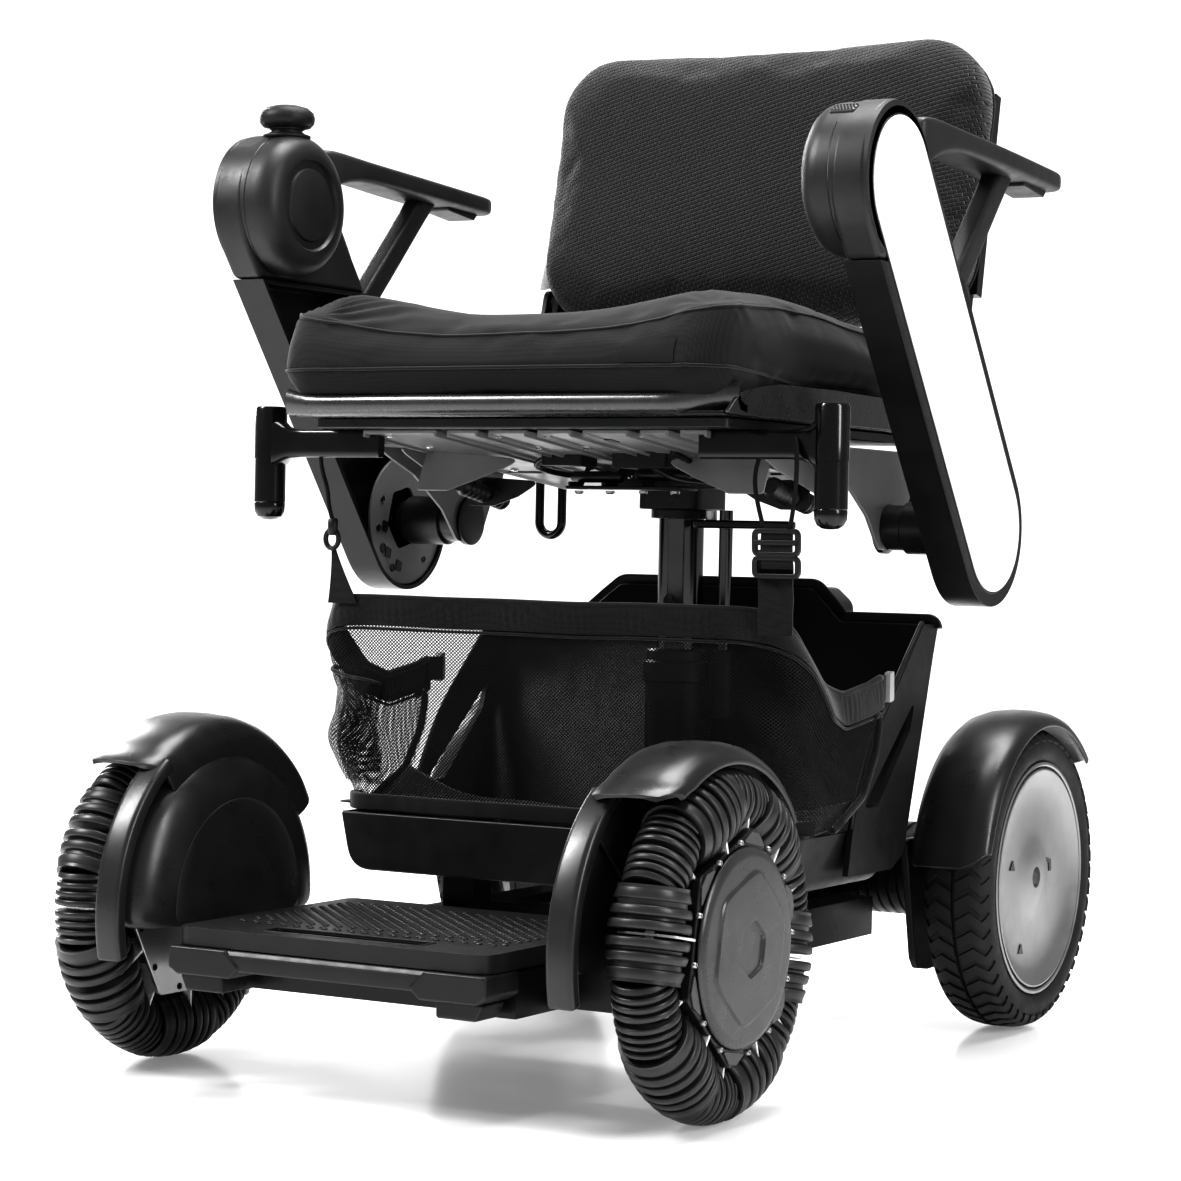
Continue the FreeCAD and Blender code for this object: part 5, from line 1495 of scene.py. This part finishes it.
def make_net_pocket():
    """Loose net pouch that has slumped in the front right corner."""
    start, end = -278, -158
    def spot(a, b):
        t, u = (a - start) / (end - start), (b - 204) / 112
        slack = 5.5 * math.sin(math.pi * min(max(u, 0), 1)) * math.sin(math.pi * min(max(t, 0), 1)) ** 0.6
        slack += 1.1 * math.sin(a * 0.16 + 2.1 * math.sin(b * 0.06)) * math.sin(b * 0.09 + 0.4)
        slack += 0.5 * math.sin(a * 0.33 - b * 0.21)
        down = 3.5 * math.sin(a * 0.07) * u
        return basket_spot(a, b + down, max(slack, 0.2) + 1.0)
    def inside(a, b):
        top = 300 + 10 * math.sin((a + 278) * 0.026) - 0.0012 * (a + 218) ** 2
        side = 158 + 0.30 * (300 - b) - 0.0022 * (300 - b) ** 2
        return 212 < b < top and a < -side
    cells = net(spot, inside, start, end, 210, 320, 3.2, 2.8, 0.34)
    pocket = make("net_pocket", cells, "base", "net_strand", sharp=180)
    hem = [spot(a, 299 + 10 * math.sin((a + 278) * 0.026) - 0.0012 * (a + 218) ** 2)
           for a in range(-276, -159, 4)]
    edge = make("net_pocket_hem", sweep(hem, circle(1.5, 8)), "base", "webbing_soft",
                sharp=180)
    return pocket, edge


def make_straps():
    """Elastic loops from the grips' arms, ladder buckles and webbing down to the basket."""
    webbing, buckles = Shape(), Shape()
    rows = []
    for k in range(19):
        t = k / 18
        z = 352 + 66 * t
        y = -129.5 - 5.5 * math.sin(math.pi * t) * 0.5 - 3 * t
        rows.append([Vector((214 + 30 * (c / 4 - 0.5) + 2.2 * math.sin(t * 3.1),
                             y + 0.5 * math.sin(c * 1.6 + k), z))
                     for c in range(5)])
    webbing.join(sheet_of(rows, 1.8))
    rows = []
    for k in range(9):
        t = k / 8
        rows.append([Vector((219 + 27 * (c / 4 - 0.5), -138 - 2 * math.sin(t * 3), 404 + 34 * t))
                     for c in range(5)])
    webbing.join(sheet_of(rows, 1.8))
    frame_bar = rounded_box(-2.2, -2, 2.2, 2, 1.2, 3)
    for low, high in ((398, 412), (415, 433)):
        corners = corners_of(200, low, 237, high)
        ring = [(x, -139 - (z - 398) * 0.05, z) for x, z in rounded(corners, 4, 4)]
        buckles.join(sweep(ring, frame_bar, ring=True, up=(0, -1, 0)))
    buckles.join(sweep([(200, -141, 424), (218, -142, 424), (237, -141, 424)], frame_bar, up=(0, -1, 0)))
    rows = []
    for k in range(15):
        t = k / 14
        z = 366 + 48 * t
        wide = 26 * (1 - t) ** 1.3 + 3.0
        middle = -192 - 6 * t
        rows.append([Vector((middle + wide * (c / 4 - 0.5), -130 - 7 * t, z)) for c in range(5)])
    webbing.join(sheet_of(list(reversed(rows)), 1.8))
    ring = [(-198 + 6.5 * math.cos(a), -138, 420 + 8 * math.sin(a))
            for a in [2 * math.pi * k / 20 for k in range(20)]]
    buckles.join(sweep(ring, circle(2.2, 8), ring=True))
    buckles.join(lathe([(0, 3), (1.5, 4.4), (13, 4.4), (14.5, 3)], (-197, -138.5, 423), 1, 16, axis="z"))
    make("strap_webbing", webbing, "base", "webbing_soft", replaces=("basket_straps",),
         sharp=60)
    make("strap_buckles", buckles, "base", "satin_black", sharp=60)
    left = [(207, -139, 434), (200, -138, 454), (196, -136.5, 476), (202, -136, 496), (212, -134, 508),
            (222, -134, 511.5),
            (233, -141, 508), (238, -148, 500), (239, -149, 478), (236, -146, 454), (230, -141, 434)]
    right = [(-197, -138.5, 434), (-200, -141, 446), (-204, -137, 462), (-208, -141, 478),
             (-212, -137.5, 494), (-215, -134, 506), (-216, -134, 511.5)]
    hanging_cord("strap_loop_left", left)
    hanging_cord("strap_cord_right", right)


def route_points(points):
    """Points along the NURBS spline that has a route as its control points."""
    line = bpy.data.curves.new("route", "CURVE")
    line.dimensions = "3D"
    line.resolution_u = 8
    spline = line.splines.new("NURBS")
    spline.points.add(len(points) - 1)
    for knot, point in zip(spline.points, points):
        knot.co = (*to_row(point), 1)
    spline.order_u = 3
    spline.use_endpoint_u = True
    carrier = bpy.data.objects.new("route", line)
    bpy.context.scene.collection.objects.link(carrier)
    bpy.context.view_layer.update()
    mesh = bpy.data.meshes.new_from_object(carrier.evaluated_get(bpy.context.evaluated_depsgraph_get()))
    found = [vertex.co.copy() for vertex in mesh.vertices]
    bpy.data.objects.remove(carrier)
    return found


def hanging_cord(name, points):
    """An elastic cord between the basket's webbing and a grip's arm, made as one fixed piece."""
    found = route_points(points)
    line = [to_design(point) for point in found]
    piece = make(name, sweep(line, circle(1.8, 12)), None, "cord_cloth", sharp=180)
    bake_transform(piece)
    length = sum((second - first).length for first, second in zip(found, found[1:]))
    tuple(found[0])


# ---------------------------------------------------------------- arms, pods and armrests

ARM_FOOT = (92, 439)
ARM_TOP = (-110, 702)
POD = (-113, 704.5)


def arm_outline(radius):
    return capsule_outline(ARM_FOOT, ARM_TOP, radius, 28)


def cut_flat(outline, level, keep_low=True):
    """Clip a (y, z) outline at one height."""
    result = []
    count = len(outline)
    for index, (y, z) in enumerate(outline):
        after_y, after_z = outline[(index + 1) % count]
        inside = (z <= level) == keep_low
        after_inside = (after_z <= level) == keep_low
        if inside:
            result.append((y, z))
        if inside != after_inside:
            t = (level - z) / (after_z - z)
            result.append((y + (after_y - y) * t, level))
    return result


def arm_frame_shape(side):
    """Outer half shell of the arm: a rim wall round a web, open on its inner side."""
    outer = cut_flat(arm_outline(64), 640)
    inner = cut_flat(arm_outline(60), 636.5)
    count = 150
    def even(outline):
        """The same outline with evenly spread points, from the one nearest the top of its front end."""
        points = [Vector(point) for point in outline]
        start = min(range(len(points)), key=lambda i: (points[i] - Vector((-400, 900))).length)
        points = points[start:] + points[:start]
        lengths = [0]
        for index, point in enumerate(points):
            lengths.append(lengths[-1] + (points[(index + 1) % len(points)] - point).length)
        result = []
        for k in range(count):
            want = lengths[-1] * k / count
            index = max(i for i in range(len(points)) if lengths[i] <= want)
            span = lengths[index + 1] - lengths[index]
            t = (want - lengths[index]) / span if span else 0
            result.append(points[index].lerp(points[(index + 1) % len(points)], t))
        return result
    a, b = even(outer), even(inner)
    levels = ((300.5, b), (ARM_INNER_X, b), (ARM_INNER_X, a), (ARM_OUTER_X, a))
    return loft([[(x, *point) for point in ring] for x, ring in levels]).on_side(side)


def make_arm(name, side):
    body = f"arm_{name}"
    make(f"arm_casing_{name}", arm_frame_shape(side), body, "arm_black", bevel=1.8,
         replaces=(f"arm_shell_{name}",), sharp=40)
    rim = arm_outline(53)
    make(f"panel_rim_{name}", plate(rim, side * 302, side * 303.6), body, "gloss_black",
         bevel=0.4)
    face = [arm_outline(radius) for radius in (51.5, 51.5, 50.4, 48, 40, 22)]
    levels = (303.2, 304.6, 305.7, 306.1, 306.4, 306.5)
    panel = loft([[(level, y, z) for y, z in ring] for level, ring in zip(levels, face)]).on_side(side)
    make(f"arm_cover_{name}", panel, body, "white_panel", replaces=(f"arm_panel_{name}",),
         sharp=50)
    foot_y, foot_z = ARM_FOOT
    hexagon = [(foot_y - 4 + 27 * math.cos(math.radians(60 * k + 12)),
                foot_z + 2 + 30 * math.sin(math.radians(60 * k + 12)))
               for k in range(6)]
    disc = [(foot_y + 59 * math.cos(2 * math.pi * k / 72), foot_z + 59 * math.sin(2 * math.pi * k / 72))
            for k in range(72)]
    ring_plate = with_hole(disc, rounded(hexagon, 6, 4), 274, 277)
    make(f"pivot_plate_{name}", ring_plate.stood_up().on_side(side), body, "plate_grey", bevel=0.5)
    dark = Shape()
    for dy, dz, size in ((-40, 18, 3.0), (-46, -8, 3.4), (-38, -26, 4.2), (-22, -44, 3.4), (30, -36, 2.8),
                         (44, 8, 2.6), (20, 44, 2.6)):
        dark.join(lathe([(-0.8, size * 0.5), (0.9, size), (0.2, size * 1.15)],
                        (side * 274, foot_y + dy, foot_z + dz), -side, 16))
    for dy, dz in ((-36, -6), (-30, -30), (-12, -42)):
        blob = rounded([(foot_y + dy - 5, foot_z + dz - 4), (foot_y + dy + 4, foot_z + dz - 6),
                        (foot_y + dy + 6, foot_z + dz + 3), (foot_y + dy - 3, foot_z + dz + 6)], 2, 3)
        dark.join(plate(blob, side * 273.2, side * 274.2))
    make(f"pivot_screws_{name}", dark, body, "hub_black", bevel=0.2, segments=1)
    socket = lathe([(0, 24), (0, 18), (14, 16), (14, 9)], (side * 274.5, foot_y, foot_z), side, 40)
    make(f"pivot_socket_{name}", socket, body, "hub_black")


def make_pod(name, side):
    body = f"arm_{name}"
    centre = (side * POD_X, *POD)
    profile = [(0.8, 0.3), (1.0, 29.6), (1.5, 30.6), (2.6, 31.2), (3.2, 31.6), (3.2, 37.4), (1.6, 38.2),
               (0.3, 39.4), (0, 43), (1.6, 49.5), (5, 54.5), (9.5, 57.9), (14, 59.4),
            (19, 60), (45.4, 60), (45.8, 59.3), (46.5, 59.3), (46.9, 60), (61, 60)]
    make(f"pod_drum_{name}", lathe(profile, centre, side, 128), body, "control_black",
         replaces=(f"control_pod_{name}",), sharp=32)
    slab = cut_flat(arm_outline(64), 640.5, keep_low=False)
    collar = plate(slab, side * (ARM_INNER_X + 1), side * ARM_OUTER_X)
    make(f"pod_collar_{name}", collar, body, "control_black", bevel=5.5, segments=5,
         bevel_angle=40)
    skip = 17 if side > 0 else 0.5
    arc = [BUTTON_LEAN + skip + (360 - 2 * skip) * k / 90 for k in range(91)]
    seam = [(centre[0] + side * 28.4, *on_circle(POD, 59.8, turn)) for turn in arc]
    groove = sweep(seam, corners_of(-0.4, -0.6, 0.4, 0.6))
    make(f"pod_line_{name}", groove, body, "hub_black")


def make_speed_dots():
    """Field of small dark dots across the speed button, painted shade that stands for its vent holes."""
    dots = Shape()
    turned = Matrix.Translation((270.5, *POD)) @ Matrix.Rotation(math.radians(BUTTON_LEAN), 4, "X")
    for row in range(4):
        for column in range(7):
            x = -8.4 + column * 2.7 + (1.35 if row % 2 else 0)
            ring = circle(0.95, 10)
            low = [(x + a, -3.9 + row * 2.6 + b, 61.2) for a, b in ring]
            high = [(x + a * 0.8, -3.9 + row * 2.6 + b * 0.8, 61.8) for a, b in ring]
            dots.join(loft([low, high]).moved(turned))
    make("speed_dots", dots, "speed_button", "hole_shade_black", sharp=60)


def make_armrest(name, side):
    """Flat pad that grows out of a rounded neck behind the pod, and the slanted strut under it."""
    body = f"arm_{name}"
    x = 286
    stations = ((-49, 733, 7, 26), (-44, 739, 9, 23), (-32, 746.5, 12, 17), (-12, 749.2, 16, 12),
                (14, 748.6, 20, 9.5),
                (60, 745.6, 23.5, 9.6), (110, 743, 25, 9.4), (170, 740, 25, 9.2), (208, 738.2, 24.8, 9.0),
                (215, 738, 24, 8.4))
    loops = []
    for y, z, half, tall in stations:
        section = []
        for k in range(28):
            turn = 2 * math.pi * k / 28
            c, s = math.cos(turn), math.sin(turn)
            a = math.copysign(abs(c) ** 0.36, c) * half
            b = math.copysign(abs(s) ** (0.40 if s > 0 else 0.5), s) * tall
            section.append((x + a, y, z + b))
        loops.append(section)
    make(f"elbow_pad_{name}", loft(loops).on_side(side), body, "control_black",
         subdivide=1, replaces=(f"armrest_{name}",), sharp=60)
    bar = rounded_box(-11, -9, 11, 9, 5, 5)
    strut = smooth_path([(x, 128, 738), (x, 112, 722), (x, 70, 677), (x, 36, 641), (x, 26, 630)], 8)
    make(f"elbow_strut_{name}", sweep(strut, bar, up=(1, 0, 0)).on_side(side), body, "control_black",
         sharp=60)
    slim = rounded_box(-10, -7, 10, 7, 5, 5)
    neck = smooth_path([(x, -34, 744), (x, -38, 726), (x, -30, 704), (x, -8, 672), (x, 12, 640),
                        (x, 22, 626), (x, 30, 624), (x, 38, 632)], 8)
    make(f"elbow_neck_{name}", sweep(neck, slim, up=(1, 0, 0)).on_side(side), body, "control_black",
         sharp=60)
    under = rounded([(150, 729), (150, 735), (204, 732), (196, 724)], 3)
    make(f"elbow_foot_{name}", plate(under, x - 14, x + 14).on_side(side), body, "control_black",
         bevel=2)


def make_joystick():
    centre = (-270.5, POD[0], 0)
    knob = [(770.5, 9), (770.8, 15.5), (772.2, 20.4), (775.6, 23.4), (780, 24), (784.6, 22.6), (788.4, 18),
            (790.4, 10.5), (790.9, 2)]
    stem = [(760, 8.2), (763, 9), (765.6, 14.6), (767, 15.4), (768.2, 13), (769.4, 13.8), (770.8, 16)]
    make("stick_knob", lathe(knob, centre, 1, 64, axis="z"), "joystick_stick", "knob_rubber",
         replaces=("joystick_knob",), sharp=180)
    make("stick_stem", lathe(stem, centre, 1, 48, axis="z"), "joystick_stick", "knob_rubber",
         sharp=180)
    boot = [(760.5, 17.5), (763, 20.5), (764.8, 20.6), (765.6, 18.4), (764.6, 16.4), (765.4, 15.2),
            (764.8, 13.4), (764.9, 11.6), (764.4, 10.4), (762, 9.2)]
    make("stick_boot", lathe(boot, centre, 1, 56, axis="z"), "arm_right", "knob_rubber",
         replaces=("joystick_boot",), sharp=180)


# ---------------------------------------------------------------- seat pan and what hangs under it

def make_pan():
    half, front, rear = 199, -197, 200
    plate_part = plate(rounded_box(-half, front, half, rear, 8), 520, 524, along="z")
    make("pan_plate", plate_part, "seat", "pan_black", bevel=1.2, replaces=("seat_pan",))
    lip = [(front + 9, 523.6), (front + 3, 524.2), (front - 2, 526.4), (front - 4.4, 530.4),
           (front - 4.0, 535), (front - 1.6, 536.6),
           (front - 2.2, 537.6), (front - 5.6, 536.4), (front - 7.2, 531.4), (front - 6.2, 525),
           (front - 2, 520.6), (front + 9, 519.6)]
    loops = []
    for k in range(41):
        x = -202 + 407 * k / 40
        curl = 5.0 * eased(-x, 184, 203)
        swoop = eased(x, 152, 200)
        loops.append([(x, y + 20 * swoop, z + curl * (z - 519) / 17 + (4 + 0.35 * (z - 520)) * swoop)
                      for y, z in lip])
    # The lip's lighter base is a painted highlight; its coat gloss is real.
    make("pan_lip", loft(loops), "seat", "pan_lip", sharp=60)
    for name, side in SIDES:
        outline = rounded([(front - 4, 522), (-176, 521), (rear, 521), (rear, 546), (-10, 549), (-110, 548),
                           (-138, 545), (-172, 540), (front + 12, 534)], (2, 4, 3, 6, 30, 40, 30, 20, 2))
        # The flanges share the lip's lighter base, a painted highlight.
        make(f"pan_flange_{name}", plate(outline, side * 201.4, side * 205), "seat", "pan_lip",
             bevel=1.4)


def make_channels():
    """Sheet-metal channels under the pan and the trays beside them; gives back the screws for later."""
    grey, dark, bright = Shape(), Shape(), Shape()
    edges = (-166, -84, -44, 2, 44, 96, 132, 166)
    for low, high in zip(edges, edges[1:]):
        section = [(low + 5, 511), (high - 5, 511), (high - 5, 505.4), (high - 7, 505.4), (high - 8, 508),
                   (low + 8, 508), (low + 7, 505.4), (low + 5, 505.4)]
        grey.join(plate(section, -150, 188, along="y"))
    for x in (-92, 54, 145):
        for y in (-110, -40, 30, 100):
            hole = corners_of(x - 4, y - 9, x + 4, y + 9)
            dark.join(plate(rounded(hole, 3.5, 4), 507.2, 508.2, along="z"))
    for x in (-142, -36, 10, 100):
        for y in (-140, -75, -5, 65):
            bright.join(lathe([(508, 3.4), (506.6, 3.4), (506, 2.4), (506, 1)], (x, y, 0), 1, 14, axis="z"))
    slope = tilt(-6, (0, -150, 508))
    grey, dark, bright = grey.moved(slope), dark.moved(slope), bright.moved(slope)
    for side in (1, -1):
        tray = rounded([(166, 500), (66, 492), (100, 476), (134, 462), (166, 462)], (3, 6, 8, 6, 3))
        upright = (Matrix.Translation((0, -52, 480)) @ Matrix.Rotation(math.radians(-24), 4, "X")
                   @ Matrix.Translation((0, 0, -480)))
        grey.join(plate(tray, 0, 1.8, along="y").on_side(side).moved(upright))
        under = rounded([(166, 478), (92, 474), (116, 460), (140, 452), (166, 452)], (3, 6, 8, 6, 3))
        dark.join(plate(under, 26, 28, along="y").on_side(side))
    make("seat_channels", grey, "seat", "plate_grey", bevel=0.6, segments=1)
    make("channel_slots", dark, "seat", "hub_black", bevel=0.3, segments=1)
    make("pan_underlay", plate(rounded_box(-192, -176, 192, 194, 8), 511.4, 519.6, along="z"),
         "seat", "hub_black", bevel=1.2)
    return bright


def make_mechanism(bright):
    """Cross bars, the post's head, the linkage before it and every screw."""
    bars = Shape()
    bars.join(plate(rounded([(79, 482), (79, 503), (105, 503), (105, 482)], 3), -206, 206))
    bars.join(plate(rounded([(166, 489), (166, 503), (190, 503), (190, 489)], 3), -150, 150))
    make("seat_cross_bars", bars, "seat", "frame_black", bevel=1.2, replaces=("seat_frame",))
    head = Shape()
    head.join(plate(rounded_box(-58, 66, 58, 162, 10), 470, 496, along="z"))
    head.join(plate(rounded_box(-30, 84, 30, 148, 12), 452, 471, along="z"))
    head.join(lathe([(0, 27), (8, 27), (9, 25), (20, 25)], (0, POST_Y, 444), 1, 48, axis="z"))
    make("post_head", head, "seat", "hub_black", bevel=1.4)
    mechanism = Shape()
    z_plate = [(66, 503), (66, 486), (40, 484), (28, 470), (6, 470), (6, 473.5), (26, 473.5), (37, 487.6),
               (61, 489.6), (61, 503)]
    for x in (-52, -18, 18, 52):
        mechanism.join(plate(z_plate, x - 1.6, x + 1.6))
    mechanism.join(plate(rounded_box(-56, 4, 56, 40, 4), 467, 470, along="z"))
    mechanism.join(plate(rounded_box(-60, -30, -20, 0, 4), 486, 503, along="z"))
    mechanism.join(plate(rounded_box(14, -40, 66, -4, 4), 484, 503, along="z"))
    make("seat_mechanism", mechanism, "seat", "frame_black", bevel=0.9, segments=2)
    rods = Shape()
    for x, z in ((-34, 478), (30, 480)):
        rods.join(lathe([(-26, 3), (-24, 5), (24, 5), (26, 3)], (x, 24, z), 1, 18))
    for points in (((-60, -20, 494), (-76, -8, 486), (-70, 30, 480), (-40, 58, 478)),
                   ((40, -26, 488), (58, -6, 476), (74, 40, 474), (60, 84, 478)),
                   ((88, -70, 496), (96, -20, 484), (92, 40, 486), (72, 70, 480))):
        rods.join(tube(points, 2.6, 10))
    make("mechanism_rods", rods, "seat", "hub_black", sharp=60)
    for x in (-52, -18, 18, 52):
        for y, z in ((14, 474.6), (52, 489)):
            bright.join(lathe([(0, 4), (2, 4), (3, 2.6), (3, 1)], (x * 0.9, y, z - 8.6), -1, 14, axis="z"))
    make("channel_screws", bright, "seat", "bright_steel")


def make_side_plates():
    for name, side in SIDES:
        outline = rounded([(-70, 503), (152, 503), (128, 452), (112, 422), (74, 420), (48, 448), (0, 478)],
                          (8, 8, 10, 14, 14, 20, 20))
        make(f"side_plate_{name}", plate(outline, side * 206, side * 209.4), "seat", "plate_grey",
             bevel=0.8)
        fold = plate(rounded_box(160, -120, 209, 150, 6), 500.5, 503.6, along="z")
        make(f"side_shelf_{name}", fold.on_side(side), "seat", "plate_grey", bevel=0.8)
        inner = rounded([(-90, 500), (96, 500), (84, 470), (30, 466), (-40, 482)], (6, 8, 12, 20, 12))
        make(f"inner_plate_{name}", plate(inner, side * 168, side * 170.4), "seat", "plate_grey",
             bevel=0.7)
        boss = [(-4, 18), (-3, 22), (2, 22), (4, 19), (20, 19), (22, 22), (60, 22), (64, 18), (66.5, 18)]
        make(f"arm_pivot_{name}", lathe(boss, (side * 206, 92, 439), side, 48), "seat", "hub_black",
             sharp=30)
        bellows = [(0, 6)]
        for k in range(9):
            bellows += [(2 + 8 * k, 6.5), (4.5 + 8 * k, 9), (7 + 8 * k, 9), (9.5 + 8 * k, 6.5)]
        bellows.append((76, 6))
        at = (Matrix.Translation((side * 150, -14, 470)) @ Matrix.Rotation(math.radians(-10), 4, "X")
              @ Matrix.Rotation(math.radians(90), 4, "Z"))
        make(f"cable_boot_{name}", lathe(bellows, (0, 0, 0), 1, 24).moved(at), "seat", "roller_rubber",
             sharp=60)
        post = rounded([(180, 500), (216, 500), (251, 646), (245, 659), (227, 659), (222, 640)],
                       (4, 6, 9, 9, 9, 9))
        make(f"back_post_{name}", plate(post, side * 206, side * 212), "seat", "frame_black",
             bevel=1.4)
        foot = plate(rounded_box(148, 172, 212, 204, 5), 499, 504, along="z")
        make(f"back_foot_{name}", foot.on_side(side), "seat", "frame_black", bevel=1)
        pin = lathe([(-13, 5), (-12, 8), (-8, 9), (7, 9), (8, 7)], (side * 206, 236, 646), side, 28)
        make(f"back_pin_{name}", pin, "seat", "hub_black", sharp=30)


def make_grips():
    for name, side in SIDES:
        centre = (side * 263, GRIP_Y, 0)
        upper = [(486.5, 12.5), (487, 13.6), (529, 13.6), (531, 12.6), (531.4, 9)]
        lower = [(435, 2.5), (435.6, 6.5), (438, 10.3), (442.5, 12.6), (449, 13.1), (450, 12.7),
                 (450.6, 13.1), (486.6, 13.0)]
        make(f"grip_bar_{name}", lathe(lower + upper, centre, 1, 56, axis="z"), "seat", "gloss_black",
             replaces=(f"front_grip_{name}",), sharp=30)
        loops = []
        corners = rounded_box(-1, -1, 1, 1, 0.5, 5)
        for x, tall, deep in ((150, 11.5, 5), (228, 11.5, 5.6), (240, 12.4, 7), (247, 15, 9), (251, 18, 11),
                              (255, 20, 12)):
            loops.append([(side * x, GRIP_Y + deep * a, 500 + tall * b) for a, b in corners])
        make(f"grip_arm_{name}", loft(loops), "seat", "gloss_black", bevel=0.6, segments=1,
             sharp=60)


def make_post():
    centre = (0, POST_Y, 0)
    tube_profile = [(160, 19), (161, 20), (451, 20), (452, 19)]
    make("post_column", lathe(tube_profile, centre, 1, 64, axis="z"), "seat", "polished_black_steel",
         replaces=("seat_post",), sharp=30)
    extra = lathe([(282, 5), (283, 6), (452, 6)], (44, POST_Y, 0), 1, 28, axis="z")
    make("post_guide", extra, "seat", "polished_black_steel", sharp=30)
    hole = lathe([(0, 2), (0, 5), (1.0, 5.6), (0.2, 6)], (0, 95.4, 372), -1, 24, axis="y")
    make("post_hole_rim", hole, "seat", "hub_black")
    socket = [(111.3, 48), (120, 48), (121.3, 46), (121.3, 32), (126, 29), (300, 29), (302, 31.5),
              (318, 31.5), (320, 29), (328, 29), (330, 27), (330, 20.2)]
    make("socket_sleeve", lathe(socket, centre, 1, 72, axis="z"), "base", "frame_black",
         replaces=("post_socket",), sharp=30)
    guide = lathe([(270, 8), (271, 10), (329, 10), (330, 8), (330, 6.2)], (44, POST_Y, 0), 1, 32, axis="z")
    make("guide_sleeve", guide, "base", "frame_black", sharp=30)
    web = plate(rounded_box(20, 280, 38, 320, 2), 111, 119, along="y")
    make("guide_web", web, "base", "frame_black", bevel=1)


def make_lever():
    paddle = rounded([(34, 66), (126, 68), (126, 90), (34, 92)], (9, 8, 8, 9))
    make("lever_paddle", plate(paddle, 436, 443, along="z"), "lever", "gloss_black", bevel=2,
         replaces=("release_lever",))
    pin = lathe([(436, 5), (451, 5), (451.4, 4)], (48, 79, 0), 1, 20, axis="z")
    make("lever_pin", pin, "lever", "cast_alloy")


def make_battery():
    outline = rounded([(-108, 178.3), (-108, 372), (-92, 386), (92, 386), (108, 372), (108, 178.3)],
                      (12, 14, 10, 10, 14, 12))
    make("battery_case", plate(outline, 194, 250, along="y"), "battery", "satin_black",
         bevel=7, segments=5, replaces=("battery_pack",))
    seam = rounded([(-108.5, 180), (-108.5, 371), (-92, 386.5), (92, 386.5), (108.5, 371), (108.5, 180)],
                   (12, 14, 10, 10, 14, 12))
    make("battery_seam", plate(seam, 221, 222.2, along="y"), "battery", "hub_black",
         bevel=0.3)
    handle = smooth_path([(-38, 246, 338), (-42, 258, 338), (-36, 268, 338), (0, 269, 338), (36, 268, 338),
                          (42, 258, 338), (38, 246, 338)], 6)
    section = rounded_box(-5, -8, 5, 8, 3.5, 4)
    make("battery_handle", sweep(handle, section, up=(0, 0, 1)), "battery", "satin_black")


make_camera()
make_stage()
dress_frame()
for side_name, side_sign in SIDES:
    make_front_wheel(side_name, side_sign)
make_seat_cushion()
make_back_cushion()
for side_name, side_sign in SIDES:
    make_front_fender(side_name, side_sign)
    make_rear_fender(side_name, side_sign)
    make_rear_wheel(side_name, side_sign)
    make_drive_details(side_name, side_sign)
    make(f"wheel_dome_{side_name}", cover_shape().on_side(side_sign), "base", "fender_black",
         bevel=1.0, segments=2, replaces=("wheel_covers",) if side_sign > 0 else (),
         sharp=45)
make_footplate()
make_bumper()
make_tub()
make_basket()
make_straps()
for side_name, side_sign in SIDES:
    make_arm(side_name, side_sign)
    make_pod(side_name, side_sign)
    make_armrest(side_name, side_sign)
make_speed_dots()
make_joystick()
make_pan()
make_mechanism(make_channels())
make_side_plates()
make_grips()
make_post()
make_lever()
make_battery()
